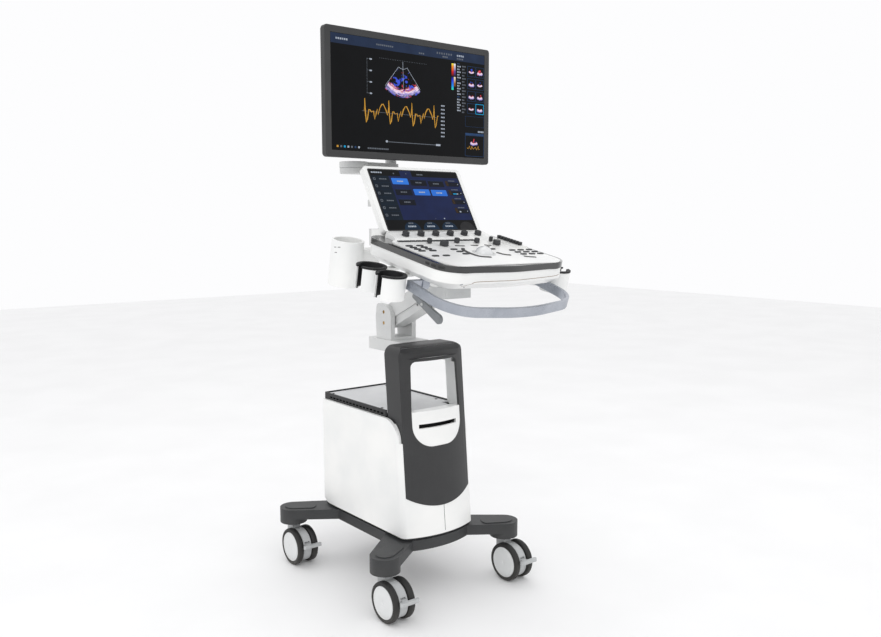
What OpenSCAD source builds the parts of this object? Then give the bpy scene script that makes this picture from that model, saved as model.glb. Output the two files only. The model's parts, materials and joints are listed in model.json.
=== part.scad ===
// Cart-based ultrasound machine, millimetres. X to the operator's right, Y to the back, Z up.
// The origin is on the floor, below the middle of the whole machine.

/* [Base and casters] */
// Distance between the left and right caster stems
track = 428; // [360:4:520]
// Distance between the front and rear caster stems
wheelbase = 492; // [420:4:600]
// Diameter of each caster wheel
wheel_d = 110; // [80:1:125]
// Width of one wheel of a twin pair
wheel_w = 19; // [14:1:24]
// Gap between the two wheels of a pair
wheel_gap = 30; // [26:1:40]
// Distance from the stem to the wheel axle
trail = 36; // [24:1:44]
// Diameter of the caster axle
axle_d = 12; // [8:1:16]
// Thickness of the base platform between the legs
platform_h = 30; // [22:1:44]
// Radius of each leg's round end
leg_end_r = 41; // [34:1:50]

/* [Body] */
// Width of the body over the side covers
body_w = 250; // [210:2:300]
// Depth of the body from its rear face to the side covers' front corners
body_d = 419; // [360:1:480]
// Height of the tray above the floor
tray_z = 520; // [460:5:600]
// Wall of the moulded covers
wall = 4; // [3:0.5:6]
// How far the tray and its rim stand inside the side covers
rim_inset = 9; // [6:0.5:14]

/* [Column] */
// Width of the dark column cover
column_w = 224; // [190:2:240]
// Depth of the column legs
column_d = 66; // [56:1:74]
// Top of the column above the floor
column_top_z = 701; // [661:4:781]
// Width of the window through the column, at the tray
window_w = 170; // [140:2:176]

/* [Lift arm] */
// Distance between the rear and front pivots of the arm
arm_len = 150; // [130:2:180]
// Rest angle of the arm above horizontal
arm_angle = 25; // [22:0.5:28]
// Width over the arm covers
arm_w = 60; // [56:1:70]
// Distance between the upper and lower pivots of one end
link_gap = 32; // [30:0.5:36]
// Diameter of the pivot pins
pin_d = 10; // [8:0.5:12]

/* [Console] */
// Width of the console
console_w = 420; // [380:4:480]
// Depth of the console along its slope
console_d = 355; // [340:5:400]
// Height of the console's rear lower edge above the floor
console_z = 984; // [960:2:1040]
// Slope of the control deck
deck_tilt = 11.66; // [6:0.5:14]
// Height of the dark palm-rest band
band_h = 16; // [12:0.5:22]
// Depth of the lower shell under the band
shell_h = 46; // [40:1:60]
// Width of the operator's handle
handle_w = 430; // [410:2:470]

/* [Monitor] */
// Width of the picture area
screen_w = 527; // [440:1:600]
// Height of the picture area
screen_h = 296; // [250:1:340]
// Width of the bezel around the picture
bezel_w = 18; // [12:1:28]
// Height of the picture centre above the floor
screen_z = 1375; // [1350:5:1450]

/* [Touch panel] */
// Width of the touch glass
touch_w = 311; // [270:1:320]
// Height of the touch glass
touch_h = 193; // [165:1:195]
// Lean of the touch glass from vertical
touch_lean = 30.5; // [24:0.5:34]

/* [Controls] */
// Diameter of the six knobs under the touch panel
knob_d = 20; // [14:0.5:24]
// Spacing of the six knobs
knob_pitch = 50; // [42:1:52]
// Diameter of the trackball
ball_d = 50; // [38:1:56]

/* [Accessories] */
// Outer diameter of a probe holder
cup_d = 76; // [66:1:80]
// Height of a probe holder
cup_h = 62; // [50:1:80]
// Bore of the gel bottle warmer
warmer_bore_d = 74; // [60:1:80]
// Height of the gel bottle warmer
warmer_h = 122; // [100:2:150]

/* [Hidden] */
$fn = 48;

fit_gap = 0.3;          // gap between separate bodies that slide past each other
run_gap = 0.05;         // radial running clearance of a pin in its bore
far = 400;              // longer than anything it cuts across

// casters
wheel_r = wheel_d / 2;
wheel_half = wheel_gap / 2;
axle_y = -trail;        // the casters all trail towards the operator
hub_r = wheel_r - 7;
stem_r = 10.9;
stem_depth = 30;
fork_top_z = wheel_d + 2;
flange_h = 8.5;
stem_front_y = -168;
stem_rear_y = stem_front_y + wheelbase;
CASTERS = [[-track / 2, stem_front_y], [track / 2, stem_front_y],
    [-track / 2, stem_rear_y], [track / 2, stem_rear_y]];
pedal_pin_r = 3;
pedal_y = -trail - hub_r + 15;
pedal_z = wheel_r + 12;
pedal_web = 16;

// base platform
leg_bottom_z = fork_top_z + flange_h + 0.5;
leg_h = 46;
leg_top_z = leg_bottom_z + leg_h;
platform_z = leg_top_z - platform_h;
leg_root_x = 82;
leg_root_r = 46;

// body
body_z = leg_top_z + 8;
body_rear_y = 300;
body_corner_y = body_rear_y - body_d;
body_bow = 30;          // how far the front bulges between its corners
body_corner_r = 20;
rear_plan_r = 20;
cover_top_z = tray_z - 20;
bow_r = (pow(body_w / 2, 2) + pow(body_bow, 2)) / (2 * body_bow);
bow_y = body_corner_y - body_bow + bow_r;
corner_x = body_w / 2 - body_corner_r;
corner_y = bow_y - sqrt(pow(bow_r - body_corner_r, 2) - pow(corner_x, 2));
tangent_x = corner_x * bow_r / (bow_r - body_corner_r);
heel_r = 48;
shoulder_r = 62;
rim_half = body_w / 2 - rim_inset;
rim_foot_z = cover_top_z - 14;
rear_frame = 14;        // what the side covers keep of the rear face at each corner

// column: it leans back as it rises
lean = 5;
foot_z = 282;
foot_y = body_corner_y - 7;
column_half = column_w / 2;
column_skin = 9;
column_wall = 4;
column_bow = 24;
column_r = (pow(column_half, 2) + pow(column_bow, 2)) / (2 * column_bow);
column_crest_r = 34;
column_corner_r = 28;
window_top_z = column_top_z - 41;
window_r = 16;
window_taper = 4;       // how much narrower each side of the window is at its top
inset_bottom_z = tray_z - 98;
inset_r = 62;
bezel_t1 = 8;
apron_z = body_z + 80;  // lowest point of the column cover
apron_r = 214;
apron_side_z = tray_z - 92;
function lean_at(z) = (z - foot_z) * tan(lean);
function column_y(z) = foot_y + lean_at(z);
function bow_at(x) = sqrt(pow(column_r, 2) - x * x) - (column_r - column_bow);

// column frame
post_w = 20;
post_x = column_half - column_wall - 0.5 - post_w;
plate_half = 50;
plate_top_z = column_top_z + 1;
beam_top_z = plate_top_z - 6;
plate_bottom_z = plate_top_z - 34;
plate_rear_y = 147;
foot_post_y = -96;

// lift
pivot_y = 72;
pivot_z = column_top_z + 64;
pin_r = pin_d / 2;
sleeve_r = pin_r + 4;
arm_half = arm_w / 2;
arm_r = 33;
arm_wall = 4;
arm_tail = 8;           // how far the arm's front end runs past its pivots
lug_half = 9;
cheek = 14.5;
yoke_half = arm_half + 0.5 + cheek;
yoke_front_y = pivot_y - 36;
yoke_rear_y = pivot_y + 36;
yoke_top_z = pivot_z + 40;
head_y = pivot_y - arm_len * cos(arm_angle);
head_z = pivot_z + arm_len * sin(arm_angle);
head_half = 45;
head_rear_y = head_y - 44;
head_front_y = head_y - 151;
head_bottom_z = head_z + 10;
head_top_z = head_z + 40;
swivel_y = head_y - 101;
post_r = 22;
post_h = 38;
turret_r = 46;
lever_y = head_y - 58;
lever_z = head_z - 9.4;
lever_t = 8;
lever_pin_r = 4;
ear_t = 8;

// console, in a frame that slopes with the deck: y runs up the slope, z is normal to it
console_y = -115;
deck_back = 32;
deck_front = deck_back - console_d;
front_r = 60;
back_r = 34;
nose_r = 340;
deck_top = band_h + 2;
border_side = 18;
border_front = 12;
border_back = 62;
console_half = console_w / 2;
shell_wall = 4;
skirt_h = 27;           // upright part of the lower shell
belly_inset = 30;       // how much smaller the shell's flat underside is
housing_half = 137;
housing_y = console_y + 40;
housing_rear_y = console_y + 118;
housing_top_z = console_z + 37;

// handle, in a plane that slopes more than the deck
handle_tilt = 18;
handle_h = 24;
handle_t = 9;
handle_front = deck_front - 40;
handle_drop = 172;
handle_end = 214;
handle_r = 96;
handle_nose_r = 460;
handle_post = 22;

// touch panel
glass_t = 3;
frame_side = 12;
frame_top = 8;
frame_t = 20;
touch_bottom_y = console_y + 4;
touch_bottom_z = console_z + 33;
ledge_half = touch_w / 2 + frame_side;

// controls, in the deck's frame
ball_r = ball_d / 2;
ball_at = [2, -196];
ball_z = deck_top - 7;
cap_stem_r = 3;
key_travel = 1.2;
key_slack = 0.4;
KEY_LEFT = [for (i = [0:3], j = [0:1]) [-170 + j * 34, -105 - i * 18]];
KEY_PAIR = [for (j = [0:1]) [-168 + j * 34, -211]];
KEY_RIGHT = [for (i = [0:2], j = [0:2]) [118 + j * 31, -178 - i * 22]];
KEY_MID = [[-62, -152], [-62, -176], [-62, -200], [62, -136], [62, -160]];
KEYS = concat(KEY_LEFT, KEY_PAIR, KEY_RIGHT, KEY_MID);
STRIP = [for (i = [0:12]) [-160 + i * 20, -55]];
DECK_KNOBS = [[-87, -80, 7], [-63, -112, 12], [4, -82, 8], [70, -87, 8], [118, -114, 11], [132, -74, 6]];
slider_x = 172;
slider_travel = 8;
SLIDERS = [for (i = [0:7]) -64 - i * 12];
knob_h = 11;
ledge_slope = 8.6;

// monitor and its arm
monitor_y = -14;
bezel_t = 19;
back_t = 16;
screen_recess = 4;
neck_y = 62;
neck_top_z = touch_bottom_z + 156;
neck_pin_r = 12;
elbow_x = -136;
elbow_y = 80;
elbow_r = 40;
link_h = 15;
link_z = neck_top_z + fit_gap;
upper_z = link_z + link_h + fit_gap;
upper_h = 17;
elbow_pin_h = 12;
mast_y = 94;
mast_r = 16;
mast_top_z = screen_z + 10;
tilt_y = 50;
tilt_z = screen_z - 30;
tilt_pin_r = 5;
tilt_lug_t = 10;
tilt_lug_x = 28;

// accessories, in the deck's frame
cup_r = cup_d / 2;
cup_z = -38;
cup_wall = 5;
cup_slot = 26;
liner_t = 3;
lip_h = 5;
bracket_t = 6;
left_cup_x = -(console_half + 38);
right_cup_x = console_half + 52;
right_cup_lift = 10;
CUPS = [[left_cup_x, -63, 0], [left_cup_x, -150, 22], [right_cup_x, -126, 0], [right_cup_x, -213, -10]];
warmer_x = -(console_half + 24);
warmer_y = 76;
warmer_z = -5;
warmer_wall = 6;
warmer_r = warmer_bore_d / 2 + warmer_wall;

// the whole machine is centred over its footprint
front_y = console_y + handle_front * cos(deck_tilt);
machine_y = -(front_y + stem_rear_y + leg_end_r) / 2;

module placed() { translate([0, machine_y, 0]) children(); }
module on_deck() { translate([0, console_y, console_z]) rotate([deck_tilt, 0, 0]) children(); }
module on_touch() { translate([0, touch_bottom_y, touch_bottom_z]) rotate([-touch_lean, 0, 0]) children(); }
module on_arm() { translate([0, pivot_y, pivot_z]) rotate([-arm_angle, 0, 0]) children(); }
module both_sides() { children(); mirror([1, 0, 0]) children(); }
module side_view(half) { rotate([90, 0, 90]) translate([0, 0, -half]) linear_extrude(2 * half) children(); }
module front_view() { translate([0, far, 0]) rotate([90, 0, 0]) linear_extrude(2 * far) children(); }
module x_rod(r, half) { rotate([0, 90, 0]) cylinder(r = r, h = 2 * half, center = true); }
module bar(x0, x1, y0, y1, z0, z1) { translate([x0, y0, z0]) cube([x1 - x0, y1 - y0, z1 - z0]); }

// a rectangle with round corners, centred on x, from y0 to y1
module round_rect(w, y0, y1, r) {
    translate([-w / 2 + r, y0]) square([w - 2 * r, y1 - y0]);
    translate([-w / 2, y0 + r]) square([w, y1 - y0 - 2 * r]);
    for (x = [-w / 2 + r, w / 2 - r], y = [y0 + r, y1 - r]) translate([x, y]) circle(r);
}

module round_box(w, y0, y1, z0, z1, r) {
    translate([0, 0, z0]) linear_extrude(z1 - z0) round_rect(w, y0, y1, r);
}

// Base and casters

module body_plan(inset, shift) {
    intersection() {
        translate([0, bow_y + shift]) circle(bow_r - inset, $fn = 180);
        translate([-tangent_x, body_corner_y - far + shift]) square([2 * tangent_x, far]);
    }
    for (s = [-1, 1]) {
        translate([s * corner_x, corner_y + shift]) circle(body_corner_r - inset);
        translate([s * (body_w / 2 - rear_plan_r), body_rear_y - rear_plan_r]) circle(rear_plan_r - inset);
    }
}

module leg(p) {
    root_y = p[1] < 0 ? body_corner_y + 50 : body_rear_y - 62;
    hull() {
        translate(p) circle(leg_end_r, $fn = 64);
        translate([sign(p[0]) * leg_root_x, root_y]) circle(leg_root_r, $fn = 64);
    }
}

module base_platform() placed() color("#3c3d3f") difference() {
    union() {
        translate([0, 0, platform_z]) linear_extrude(platform_h) {
            hull() body_plan(3, lean_at(body_z));
            for (p = CASTERS) leg(p);
        }
        for (p = CASTERS) translate([p[0], p[1], leg_bottom_z]) cylinder(r = leg_end_r, h = leg_h);
        translate([0, 0, leg_top_z]) linear_extrude(body_z - leg_top_z) hull() body_plan(8, lean_at(body_z));
    }
    for (p = CASTERS) translate([p[0], p[1], leg_bottom_z - 1]) cylinder(r = stem_r + run_gap, h = stem_depth + 2);
}

// the housing between the wheels, in side view with the stem at y = 0
module fork_outline() {
    difference() {
        union() {
            translate([-trail, wheel_r]) circle(hub_r);
            translate([-17, wheel_r]) square([34, fork_top_z - wheel_r]);
            translate([-trail, wheel_r]) square([trail, wheel_r - 6]);
        }
        translate([-4, -1]) square([60, wheel_r - 8]);
    }
}

module caster_fork(p) placed() translate([p[0], p[1], 0]) color("#a9abad") {
    translate([0, 0, fork_top_z]) cylinder(r = stem_r, h = flange_h + stem_depth);
    translate([0, 0, fork_top_z]) cylinder(r = 17, h = flange_h);
    difference() {
        side_view(wheel_half - 2) fork_outline();
        bar(-pedal_web / 2 - 0.4, pedal_web / 2 + 0.4, pedal_y - far, pedal_y + 9, pedal_z - 9, pedal_z + 9);
    }
    translate([0, pedal_y, pedal_z]) x_rod(pedal_pin_r, pedal_web / 2 + 2);
    translate([0, axle_y, wheel_r]) x_rod(axle_d / 2, wheel_half + wheel_w - 3);
}

module wheel() translate([0, 0, wheel_half]) difference() {
    rotate_extrude() polygon([[axle_d / 2 + run_gap, 0], [wheel_r - 4, 0], [wheel_r, 4],
        [wheel_r, wheel_w - 5], [wheel_r - 5, wheel_w], [axle_d / 2 + run_gap, wheel_w]]);
    translate([0, 0, wheel_w - 2]) cylinder(r = wheel_r - 9, h = 3);
}

module caster_wheels(p) placed() translate([p[0], p[1] + axle_y, wheel_r]) color("#2c2c2e")
    both_sides() rotate([0, 90, 0]) wheel();

module caster_pedal(p) placed() translate([p[0], p[1] + pedal_y, pedal_z]) color("#c9cacb") {
    reach = wheel_r - hub_r + 18;
    difference() {
        union() {
            x_rod(7, pedal_web / 2);
            bar(-pedal_web / 2, pedal_web / 2, -reach - 5, 0, -4, 4);
        }
        x_rod(pedal_pin_r + run_gap, pedal_web);
    }
    translate([8, 0, -5]) linear_extrude(10) round_rect(60, -reach - 10, -reach, 4.9);
}

// Body

module body_side(inset) {
    front = column_y(cover_top_z) + 2;
    top = cover_top_z - inset;
    rear = body_rear_y - inset;
    intersection() {
        translate([-far, body_z]) square([far + rear, top - body_z]);
        union() {
            translate([rear - heel_r, body_z + heel_r]) circle(heel_r, $fn = 64);
            translate([-far, body_z + heel_r]) square([2 * far, far]);
            translate([-far, body_z]) square([far + rear - heel_r, far]);
        }
        union() {
            translate([front + shoulder_r, cover_top_z - shoulder_r]) circle(shoulder_r - inset, $fn = 64);
            translate([-far, body_z]) square([2 * far, cover_top_z - shoulder_r - body_z]);
            translate([front + shoulder_r, body_z]) square([far, far]);
        }
    }
}

module body_block(inset) intersection() {
    hull() for (z = [body_z, cover_top_z]) translate([0, 0, z]) linear_extrude(0.1) body_plan(inset, lean_at(z));
    side_view(body_w) body_side(inset);
}

// the volume that the column cover takes out of the body's front
module column_zone(grow) {
    back = column_skin + 20 + grow;
    intersection() {
        bar(-column_half - grow, column_half + grow, -far, far, apron_z - grow, 2 * far);
        front_view() union() {
            translate([0, apron_z + apron_r - grow]) circle(apron_r, $fn = 180);
            translate([-far, apron_z + apron_r]) square([2 * far, far]);
        }
        side_view(far) polygon([[-far, 0], [column_y(0) + back, 0], [column_y(far) + back, far],
            [column_y(2 * far) + back, 2 * far], [-far, 2 * far]]);
    }
}

module side_cover(side) color("#f2f2f2") intersection() {
    difference() {
        body_block(0);
        translate([0, 0, -wall - 1]) body_block(wall);
        bar(-rim_half, rim_half, body_corner_y + 20, body_rear_y + 10, cover_top_z - 12, tray_z);
        bar(rear_frame - body_w / 2, body_w / 2 - rear_frame, body_rear_y - 40, body_rear_y + 10, 0, tray_z);
        column_zone(0.6);
        bar(-column_half - 0.6, column_half + 0.6, -far, column_y(cover_top_z) + column_d, cover_top_z - shoulder_r, tray_z);
    }
    translate([side > 0 ? 0.15 : -far - 0.15, -far, 0]) cube([far, 2 * far, 2 * far]);
}

SOCKET_BAY = [40, 230, body_z + 150, body_z + 220];

module side_cover_left() placed() side_cover(-1);
module side_cover_right() placed() difference() {
    side_cover(1);
    bar(body_w / 2 - 20, body_w, SOCKET_BAY[0], SOCKET_BAY[1], SOCKET_BAY[2], SOCKET_BAY[3]);
}

INLET = [-24, 24, body_z + 44, body_z + 74];

module rear_panel() placed() color("#3a3b3d") difference() {
    half = body_w / 2 - rear_frame - 0.4;
    bar(-half, half, body_rear_y - 12, body_rear_y - 4, body_z + 34, rim_foot_z - 0.4);
    for (i = [0:9]) translate([-70, body_rear_y - 20, body_z + 90 + i * 16]) cube([140, 30, 7]);
    bar(INLET[0], INLET[1], body_rear_y - 20, body_rear_y, INLET[2], INLET[3]);
}

// Column

// a curved leaning slab whose front bulges between its side edges
module bowed(z0, z1, setback, half, deep) {
    hull() for (z = [z0, z1]) translate([0, column_y(z) + setback, z]) linear_extrude(0.1)
        intersection() {
            translate([-half, -column_bow - 5]) square([2 * half, deep + column_bow + 5]);
            translate([0, column_r - column_bow]) circle(column_r, $fn = 120);
        }
}

module window_outline() {
    half = window_w / 2;
    hull() {
        translate([-half, tray_z]) square([2 * half, 1]);
        for (s = [-1, 1]) translate([s * (half - window_taper - window_r), window_top_z - window_r])
            circle(window_r, $fn = 32);
    }
}

// the U below the window that the printer's front fills
module inset_outline(grow) {
    half = window_w / 2 + grow;
    r = inset_r + grow;
    translate([-half, inset_bottom_z + inset_r]) square([2 * half, tray_z - inset_bottom_z - inset_r + 1]);
    translate([r - half, inset_bottom_z - grow]) square([2 * half - 2 * r, inset_r]);
    for (s = [-1, 1]) translate([s * (half - r), inset_bottom_z + inset_r]) circle(r, $fn = 64);
}

module column_side() {
    top = column_top_z;
    crest = column_y(top) - 12 + column_crest_r;
    intersection() {
        polygon([[column_y(0) - far, 0], [column_y(0) + column_d, 0], [column_y(top) + column_d, top],
            [column_y(top) - far, top]]);
        union() {
            translate([crest, top - column_crest_r]) circle(column_crest_r, $fn = 64);
            translate([-far, 0]) square([2 * far, top - column_crest_r]);
            translate([crest, 0]) square([far, 2 * far]);
        }
    }
}

module column_cover() placed() color("#3d3e40") difference() {
    intersection() {
        bowed(body_z + 60, column_top_z, 0, column_half, column_d);
        side_view(far) column_side();
        front_view() union() {
            translate([-column_half, 0]) square([column_w, column_top_z - column_corner_r]);
            translate([column_corner_r - column_half, 0]) square([column_w - 2 * column_corner_r, column_top_z]);
            for (s = [-1, 1]) translate([s * (column_half - column_corner_r), column_top_z - column_corner_r])
                circle(column_corner_r, $fn = 64);
        }
        union() {
            column_zone(0);
            bar(-far, far, -far, far, apron_side_z, 2 * far);
        }
    }
    // hollow back, with room for the frame
    bowed(body_z, column_top_z - column_crest_r, column_skin, column_half - column_wall, far);
    bar(-post_x - 10, post_x + 10, column_y(column_top_z) + 4, far, window_top_z, beam_top_z + 0.4);
    front_view() {
        window_outline();
        inset_outline(0);
    }
}

module post_section(x0, z) {
    x1 = post_x + post_w;
    y0 = column_skin + 0.5;
    polygon([[x0, y0 - bow_at(x0)], [x1, y0 - bow_at(x1)], [x1, column_d - 2], [x1 - 6, column_d - 2],
        [x0, column_d - 30]]);
}

module column_frame() placed() color("#c4c6c8") {
    inner = window_w / 2 + fit_gap;
    both_sides() {
        hull() {
            translate([0, column_y(tray_z), tray_z - 2]) linear_extrude(0.1) post_section(inner, tray_z);
            translate([0, column_y(window_top_z - window_r), window_top_z - window_r]) linear_extrude(0.1)
                post_section(inner - window_taper, window_top_z);
        }
        bar(inner - window_taper, post_x + 9, column_y(window_top_z) + 10, column_y(window_top_z) + column_d - 8,
            window_top_z - window_r, beam_top_z);
        bar(inner + 2, post_x + post_w, foot_post_y, foot_post_y + 30, body_z + 3, tray_z - 2);
    }
    bar(-post_x, post_x, column_y(window_top_z) + 10, column_y(window_top_z) + column_d - 8,
        window_top_z + 1, beam_top_z);
    round_box(2 * plate_half, column_y(window_top_z) + 30, plate_rear_y, plate_bottom_z, beam_top_z, 8);
    round_box(2 * plate_half, column_y(column_top_z) + column_d + 1, plate_rear_y, plate_bottom_z, plate_top_z, 8);
}

// the window's sill and the printer's front in one white moulding
module printer_bezel() placed() color("#ececec") difference() {
    intersection() {
        bowed(inset_bottom_z - 5, tray_z + 2, 0.5, column_half, bezel_t1);
        front_view() inset_outline(-0.4);
    }
    bar(-66, 66, -far, far, tray_z - 45, tray_z - 33);
    bowed(inset_bottom_z - 5, tray_z - bezel_t1, bezel_t1, column_half, far);
}

module printer_unit() placed() color("#303133")
    bar(-68, 68, column_y(tray_z) + 2, column_y(tray_z) + 90, inset_bottom_z + 20, tray_z - 14);

module top_tray() placed() color("#cfd1d2") difference() {
    round_box(2 * rim_half - 10, column_y(tray_z) - 6, body_rear_y - 13, tray_z - 9, tray_z - 4, 4);
    both_sides() bar(window_w / 2 - 2, body_w, -far, column_y(tray_z) + column_d + 1, 0, 2 * far);
    bowed(tray_z - 60, tray_z + 20, -far, column_half, far + column_skin);
}

module tray_rim() placed() color("#2a2b2c") difference() {
    front = column_y(tray_z) + column_d + 2;
    round_box(2 * rim_half - 0.6, front, body_rear_y - 8, rim_foot_z, tray_z, 5);
    round_box(2 * rim_half - 9.4, -far, body_rear_y - 12.4, 0, far + tray_z, 4);
    for (i = [0:15]) translate([0, front + 20 + i * 18, tray_z - 12]) cube([2 * far, 11, 5], center = true);
}

// Inside the body

module chassis() placed() color("#8d9194") difference() {
    round_box(body_w - 2 * wall - 4, body_corner_y + 12, body_rear_y - 30, body_z, body_z + 3, 12);
    translate([0, 0, body_z - 1]) cylinder(r = 12, h = 6);
}

module electronics_module() placed() color("#6f7476") {
    bar(-80, 80, 10, 230, body_z + 110, body_z + 290);
    for (x = [-80, 70], y = [20, 210]) bar(x, x + 10, y, y + 10, body_z + 3, body_z + 110);
}

module power_supply() placed() color("#9a9c9e") bar(-60, 60, 60, 190, body_z + 3, body_z + 83);

module power_inlet() placed() color("#1e1f20") difference() {
    bar(INLET[0] + 0.4, INLET[1] - 0.4, body_rear_y - 36, body_rear_y - 2, INLET[2] + 0.4, INLET[3] - 0.4);
    bar(-14, 14, body_rear_y - 22, body_rear_y, INLET[2] + 6, INLET[3] - 6);
}

module probe_sockets() placed() color("#2b2c2e") difference() {
    x = body_w / 2;
    bar(x - 14, x - 3, SOCKET_BAY[0] + 0.4, SOCKET_BAY[1] - 0.4, SOCKET_BAY[2] + 0.4, SOCKET_BAY[3] - 0.4);
    for (i = [0:2]) translate([x - 9, SOCKET_BAY[0] + 12 + i * 60, SOCKET_BAY[2] + 12]) cube([10, 46, 46]);
}

// Lift: two links between the yoke and the head keep the head level

// the pivots of a link in the arm's level frame; end is 0 behind and 1 in front, s is +1 above and -1 below
function link_y(end, s) = -end * arm_len - s * link_gap / 2 * sin(arm_angle);
function link_z(s) = s * link_gap / 2 * cos(arm_angle);

module lift_yoke() placed() color("#d3d5d7") {
    difference() {
        both_sides() translate([yoke_half - cheek / 2, 0, 0]) side_view(cheek / 2) hull() {
            translate([yoke_front_y, plate_top_z]) square([yoke_rear_y - yoke_front_y, 2]);
            translate([yoke_rear_y - 12, yoke_top_z - 12]) circle(12, $fn = 32);
            translate([pivot_y + 2, pivot_z]) circle(38, $fn = 64);
        }
        for (dz = [-1, 1]) translate([0, pivot_y, pivot_z + dz * link_gap / 2]) x_rod(pin_r, yoke_half + 1);
    }
    bar(-yoke_half, yoke_half, yoke_front_y, yoke_rear_y, plate_top_z, plate_top_z + 6);
}

module lift_pins() placed() color("#9b8a5c")
    for (dz = [-1, 1]) translate([0, pivot_y, pivot_z + dz * link_gap / 2]) x_rod(pin_r, yoke_half - 1);

module arm_side(inset) hull() {
    circle(arm_r - inset, $fn = 64);
    translate([-arm_len - arm_tail, 0]) circle(arm_r - inset, $fn = 64);
}

// one arm cover, hollow, with its pivot sleeves; s is +1 for the upper and -1 for the lower
module arm_link(s, half, skirt) {
    inner = half - arm_wall;
    rib_h = arm_r - 3 - s * link_z(s);
    difference() {
        union() {
            difference() {
                intersection() {
                    side_view(half) arm_side(0);
                    translate([-far, -far, s > 0 ? skirt : skirt - 2 * far]) cube(2 * far);
                }
                side_view(inner) arm_side(arm_wall);
                // only the sides hang down as a skirt
                translate([-inner, -far, s > 0 ? -far + 8 : -12]) cube([2 * inner, 2 * far, far]);
                bar(-lug_half - 3, lug_half + 3, -far, -arm_len + 8, -far, far);
            }
            translate([0, link_y(0, s), link_z(s)]) x_rod(sleeve_r, inner + 1);
            translate([-inner - 1, link_y(0, s) - 3, s > 0 ? link_z(s) : link_z(s) - rib_h])
                cube([2 * inner + 2, 6, rib_h]);
            both_sides() translate([lug_half + 1, link_y(1, s), link_z(s)]) rotate([0, 90, 0])
                cylinder(r = sleeve_r, h = inner - lug_half);
        }
        for (end = [0, 1]) translate([0, link_y(end, s), link_z(s)]) x_rod(pin_r + run_gap, half + 1);
        // the path of the yoke's lower pin as the lift moves
        if (s > 0) translate([0, link_y(0, s), link_z(s)]) side_view(half + 1) difference() {
            intersection() {
                circle(link_gap + pin_r + 1);
                translate([-2 * pin_r - 2, -far]) square([far, far - link_gap / 2 + 2]);
            }
            circle(link_gap - pin_r - 1);
        }
    }
}

module lift_arm_upper() placed() on_arm() color("#d9dbdd") arm_link(1, arm_half, -10);
module lift_arm_lower() placed() on_arm() color("#b9bcbf") arm_link(-1, arm_half - arm_wall - 0.8, -6);

module lift_head() placed() color("#a4a7aa") {
    side_view(lug_half) hull() for (dz = [-1, 1]) translate([head_y, head_z + dz * link_gap / 2]) circle(11, $fn = 32);
    bar(-lug_half, lug_half, head_rear_y - 5, head_y, head_z - 8, head_z + 24);
    for (dz = [-1, 1]) translate([0, head_y, head_z + dz * link_gap / 2]) x_rod(pin_r, arm_half - arm_wall - 6);
    difference() {
        round_box(2 * head_half, head_front_y, head_rear_y, head_bottom_z, head_top_z, 8);
        translate([0, swivel_y, head_bottom_z - 1]) cylinder(r = 12, h = 12);
    }
    // ear and pin of the release lever
    bar(-head_half, -head_half + ear_t, lever_y - 12, lever_y + 12, lever_z - 10, head_bottom_z + 1);
    translate([-head_half - lever_t / 2, lever_y, lever_z]) x_rod(lever_pin_r, lever_t / 2 + 3);
    translate([0, swivel_y, head_top_z - 1]) cylinder(r = post_r, h = post_h);
}

module release_lever() placed() color("#6d7074") difference() {
    translate([-head_half - lever_t / 2 - 0.3, 0, 0]) side_view(lever_t / 2) hull() {
        translate([lever_y + 38, lever_z + 19]) circle(6, $fn = 32);
        translate([lever_y - 68, lever_z - 35]) circle(13, $fn = 32);
    }
    translate([-head_half, lever_y, lever_z]) x_rod(lever_pin_r + run_gap, lever_t + 2);
}

// Console

module console_plan(inset) hull() {
    for (s = [-1, 1]) {
        translate([s * (console_half - front_r), deck_front + front_r + 12]) circle(front_r - inset, $fn = 48);
        translate([s * (console_half - back_r), deck_back - back_r]) circle(back_r - inset, $fn = 32);
    }
    translate([0, deck_front + nose_r]) intersection() {
        circle(nose_r - inset, $fn = 180);
        translate([-90, -far]) square([180, 200]);
    }
}

module shell_form(inset, floor_z, top_z) hull() {
    translate([0, 0, -skirt_h]) linear_extrude(top_z + skirt_h) console_plan(2 + inset);
    translate([0, 0, floor_z]) linear_extrude(1) console_plan(belly_inset + inset);
}

module console_shell() placed() color("#f0f0f0") difference() {
    union() {
        on_deck() difference() {
            shell_form(0, -shell_h, -fit_gap);
            shell_form(shell_wall, shell_wall - shell_h, 20);
        }
        // turret around the swivel post
        intersection() {
            translate([0, swivel_y, head_top_z + fit_gap]) cylinder(r = turret_r, h = 90);
            on_deck() bar(-far, far, -far, far, -far, -4);
        }
        // rear housing that carries the touch panel and the monitor's neck
        round_box(2 * housing_half, console_y + 15, housing_rear_y, console_z - 34, console_z - 1, 12);
        round_box(2 * housing_half, housing_y, housing_rear_y, console_z - 34, housing_top_z, 12);
    }
    translate([0, swivel_y, head_top_z - 2]) cylinder(r = post_r + run_gap, h = post_h + 4);
}

module deck_opening(grow) {
    w = console_w - 2 * border_side + 2 * grow;
    round_rect(w, deck_front + border_front - grow, deck_back - border_back + grow, front_r - border_side + 4 + grow);
}

module console_band() placed() on_deck() color("#232425") difference() {
    linear_extrude(band_h) console_plan(0);
    translate([0, 0, -1]) linear_extrude(band_h + 2) deck_opening(0);
}

module cap_outline(grow) {
    square([12 + 2 * grow, 9 + 2 * grow], center = true);
    for (s = [-1, 1]) translate([s * 6, 0]) circle(4.5 + grow);
}

module key_caps(z, h, grow) {
    for (p = KEYS) translate([p[0], p[1], z]) linear_extrude(h) cap_outline(grow);
    for (p = STRIP) translate([p[0], p[1], z]) linear_extrude(h) square([17 + 2 * grow, 11 + 2 * grow], center = true);
}

module ledge_at(i) translate([(i - 2.5) * knob_pitch, -25, deck_top + 8.4]) rotate([ledge_slope, 0, 0]) children();

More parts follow.
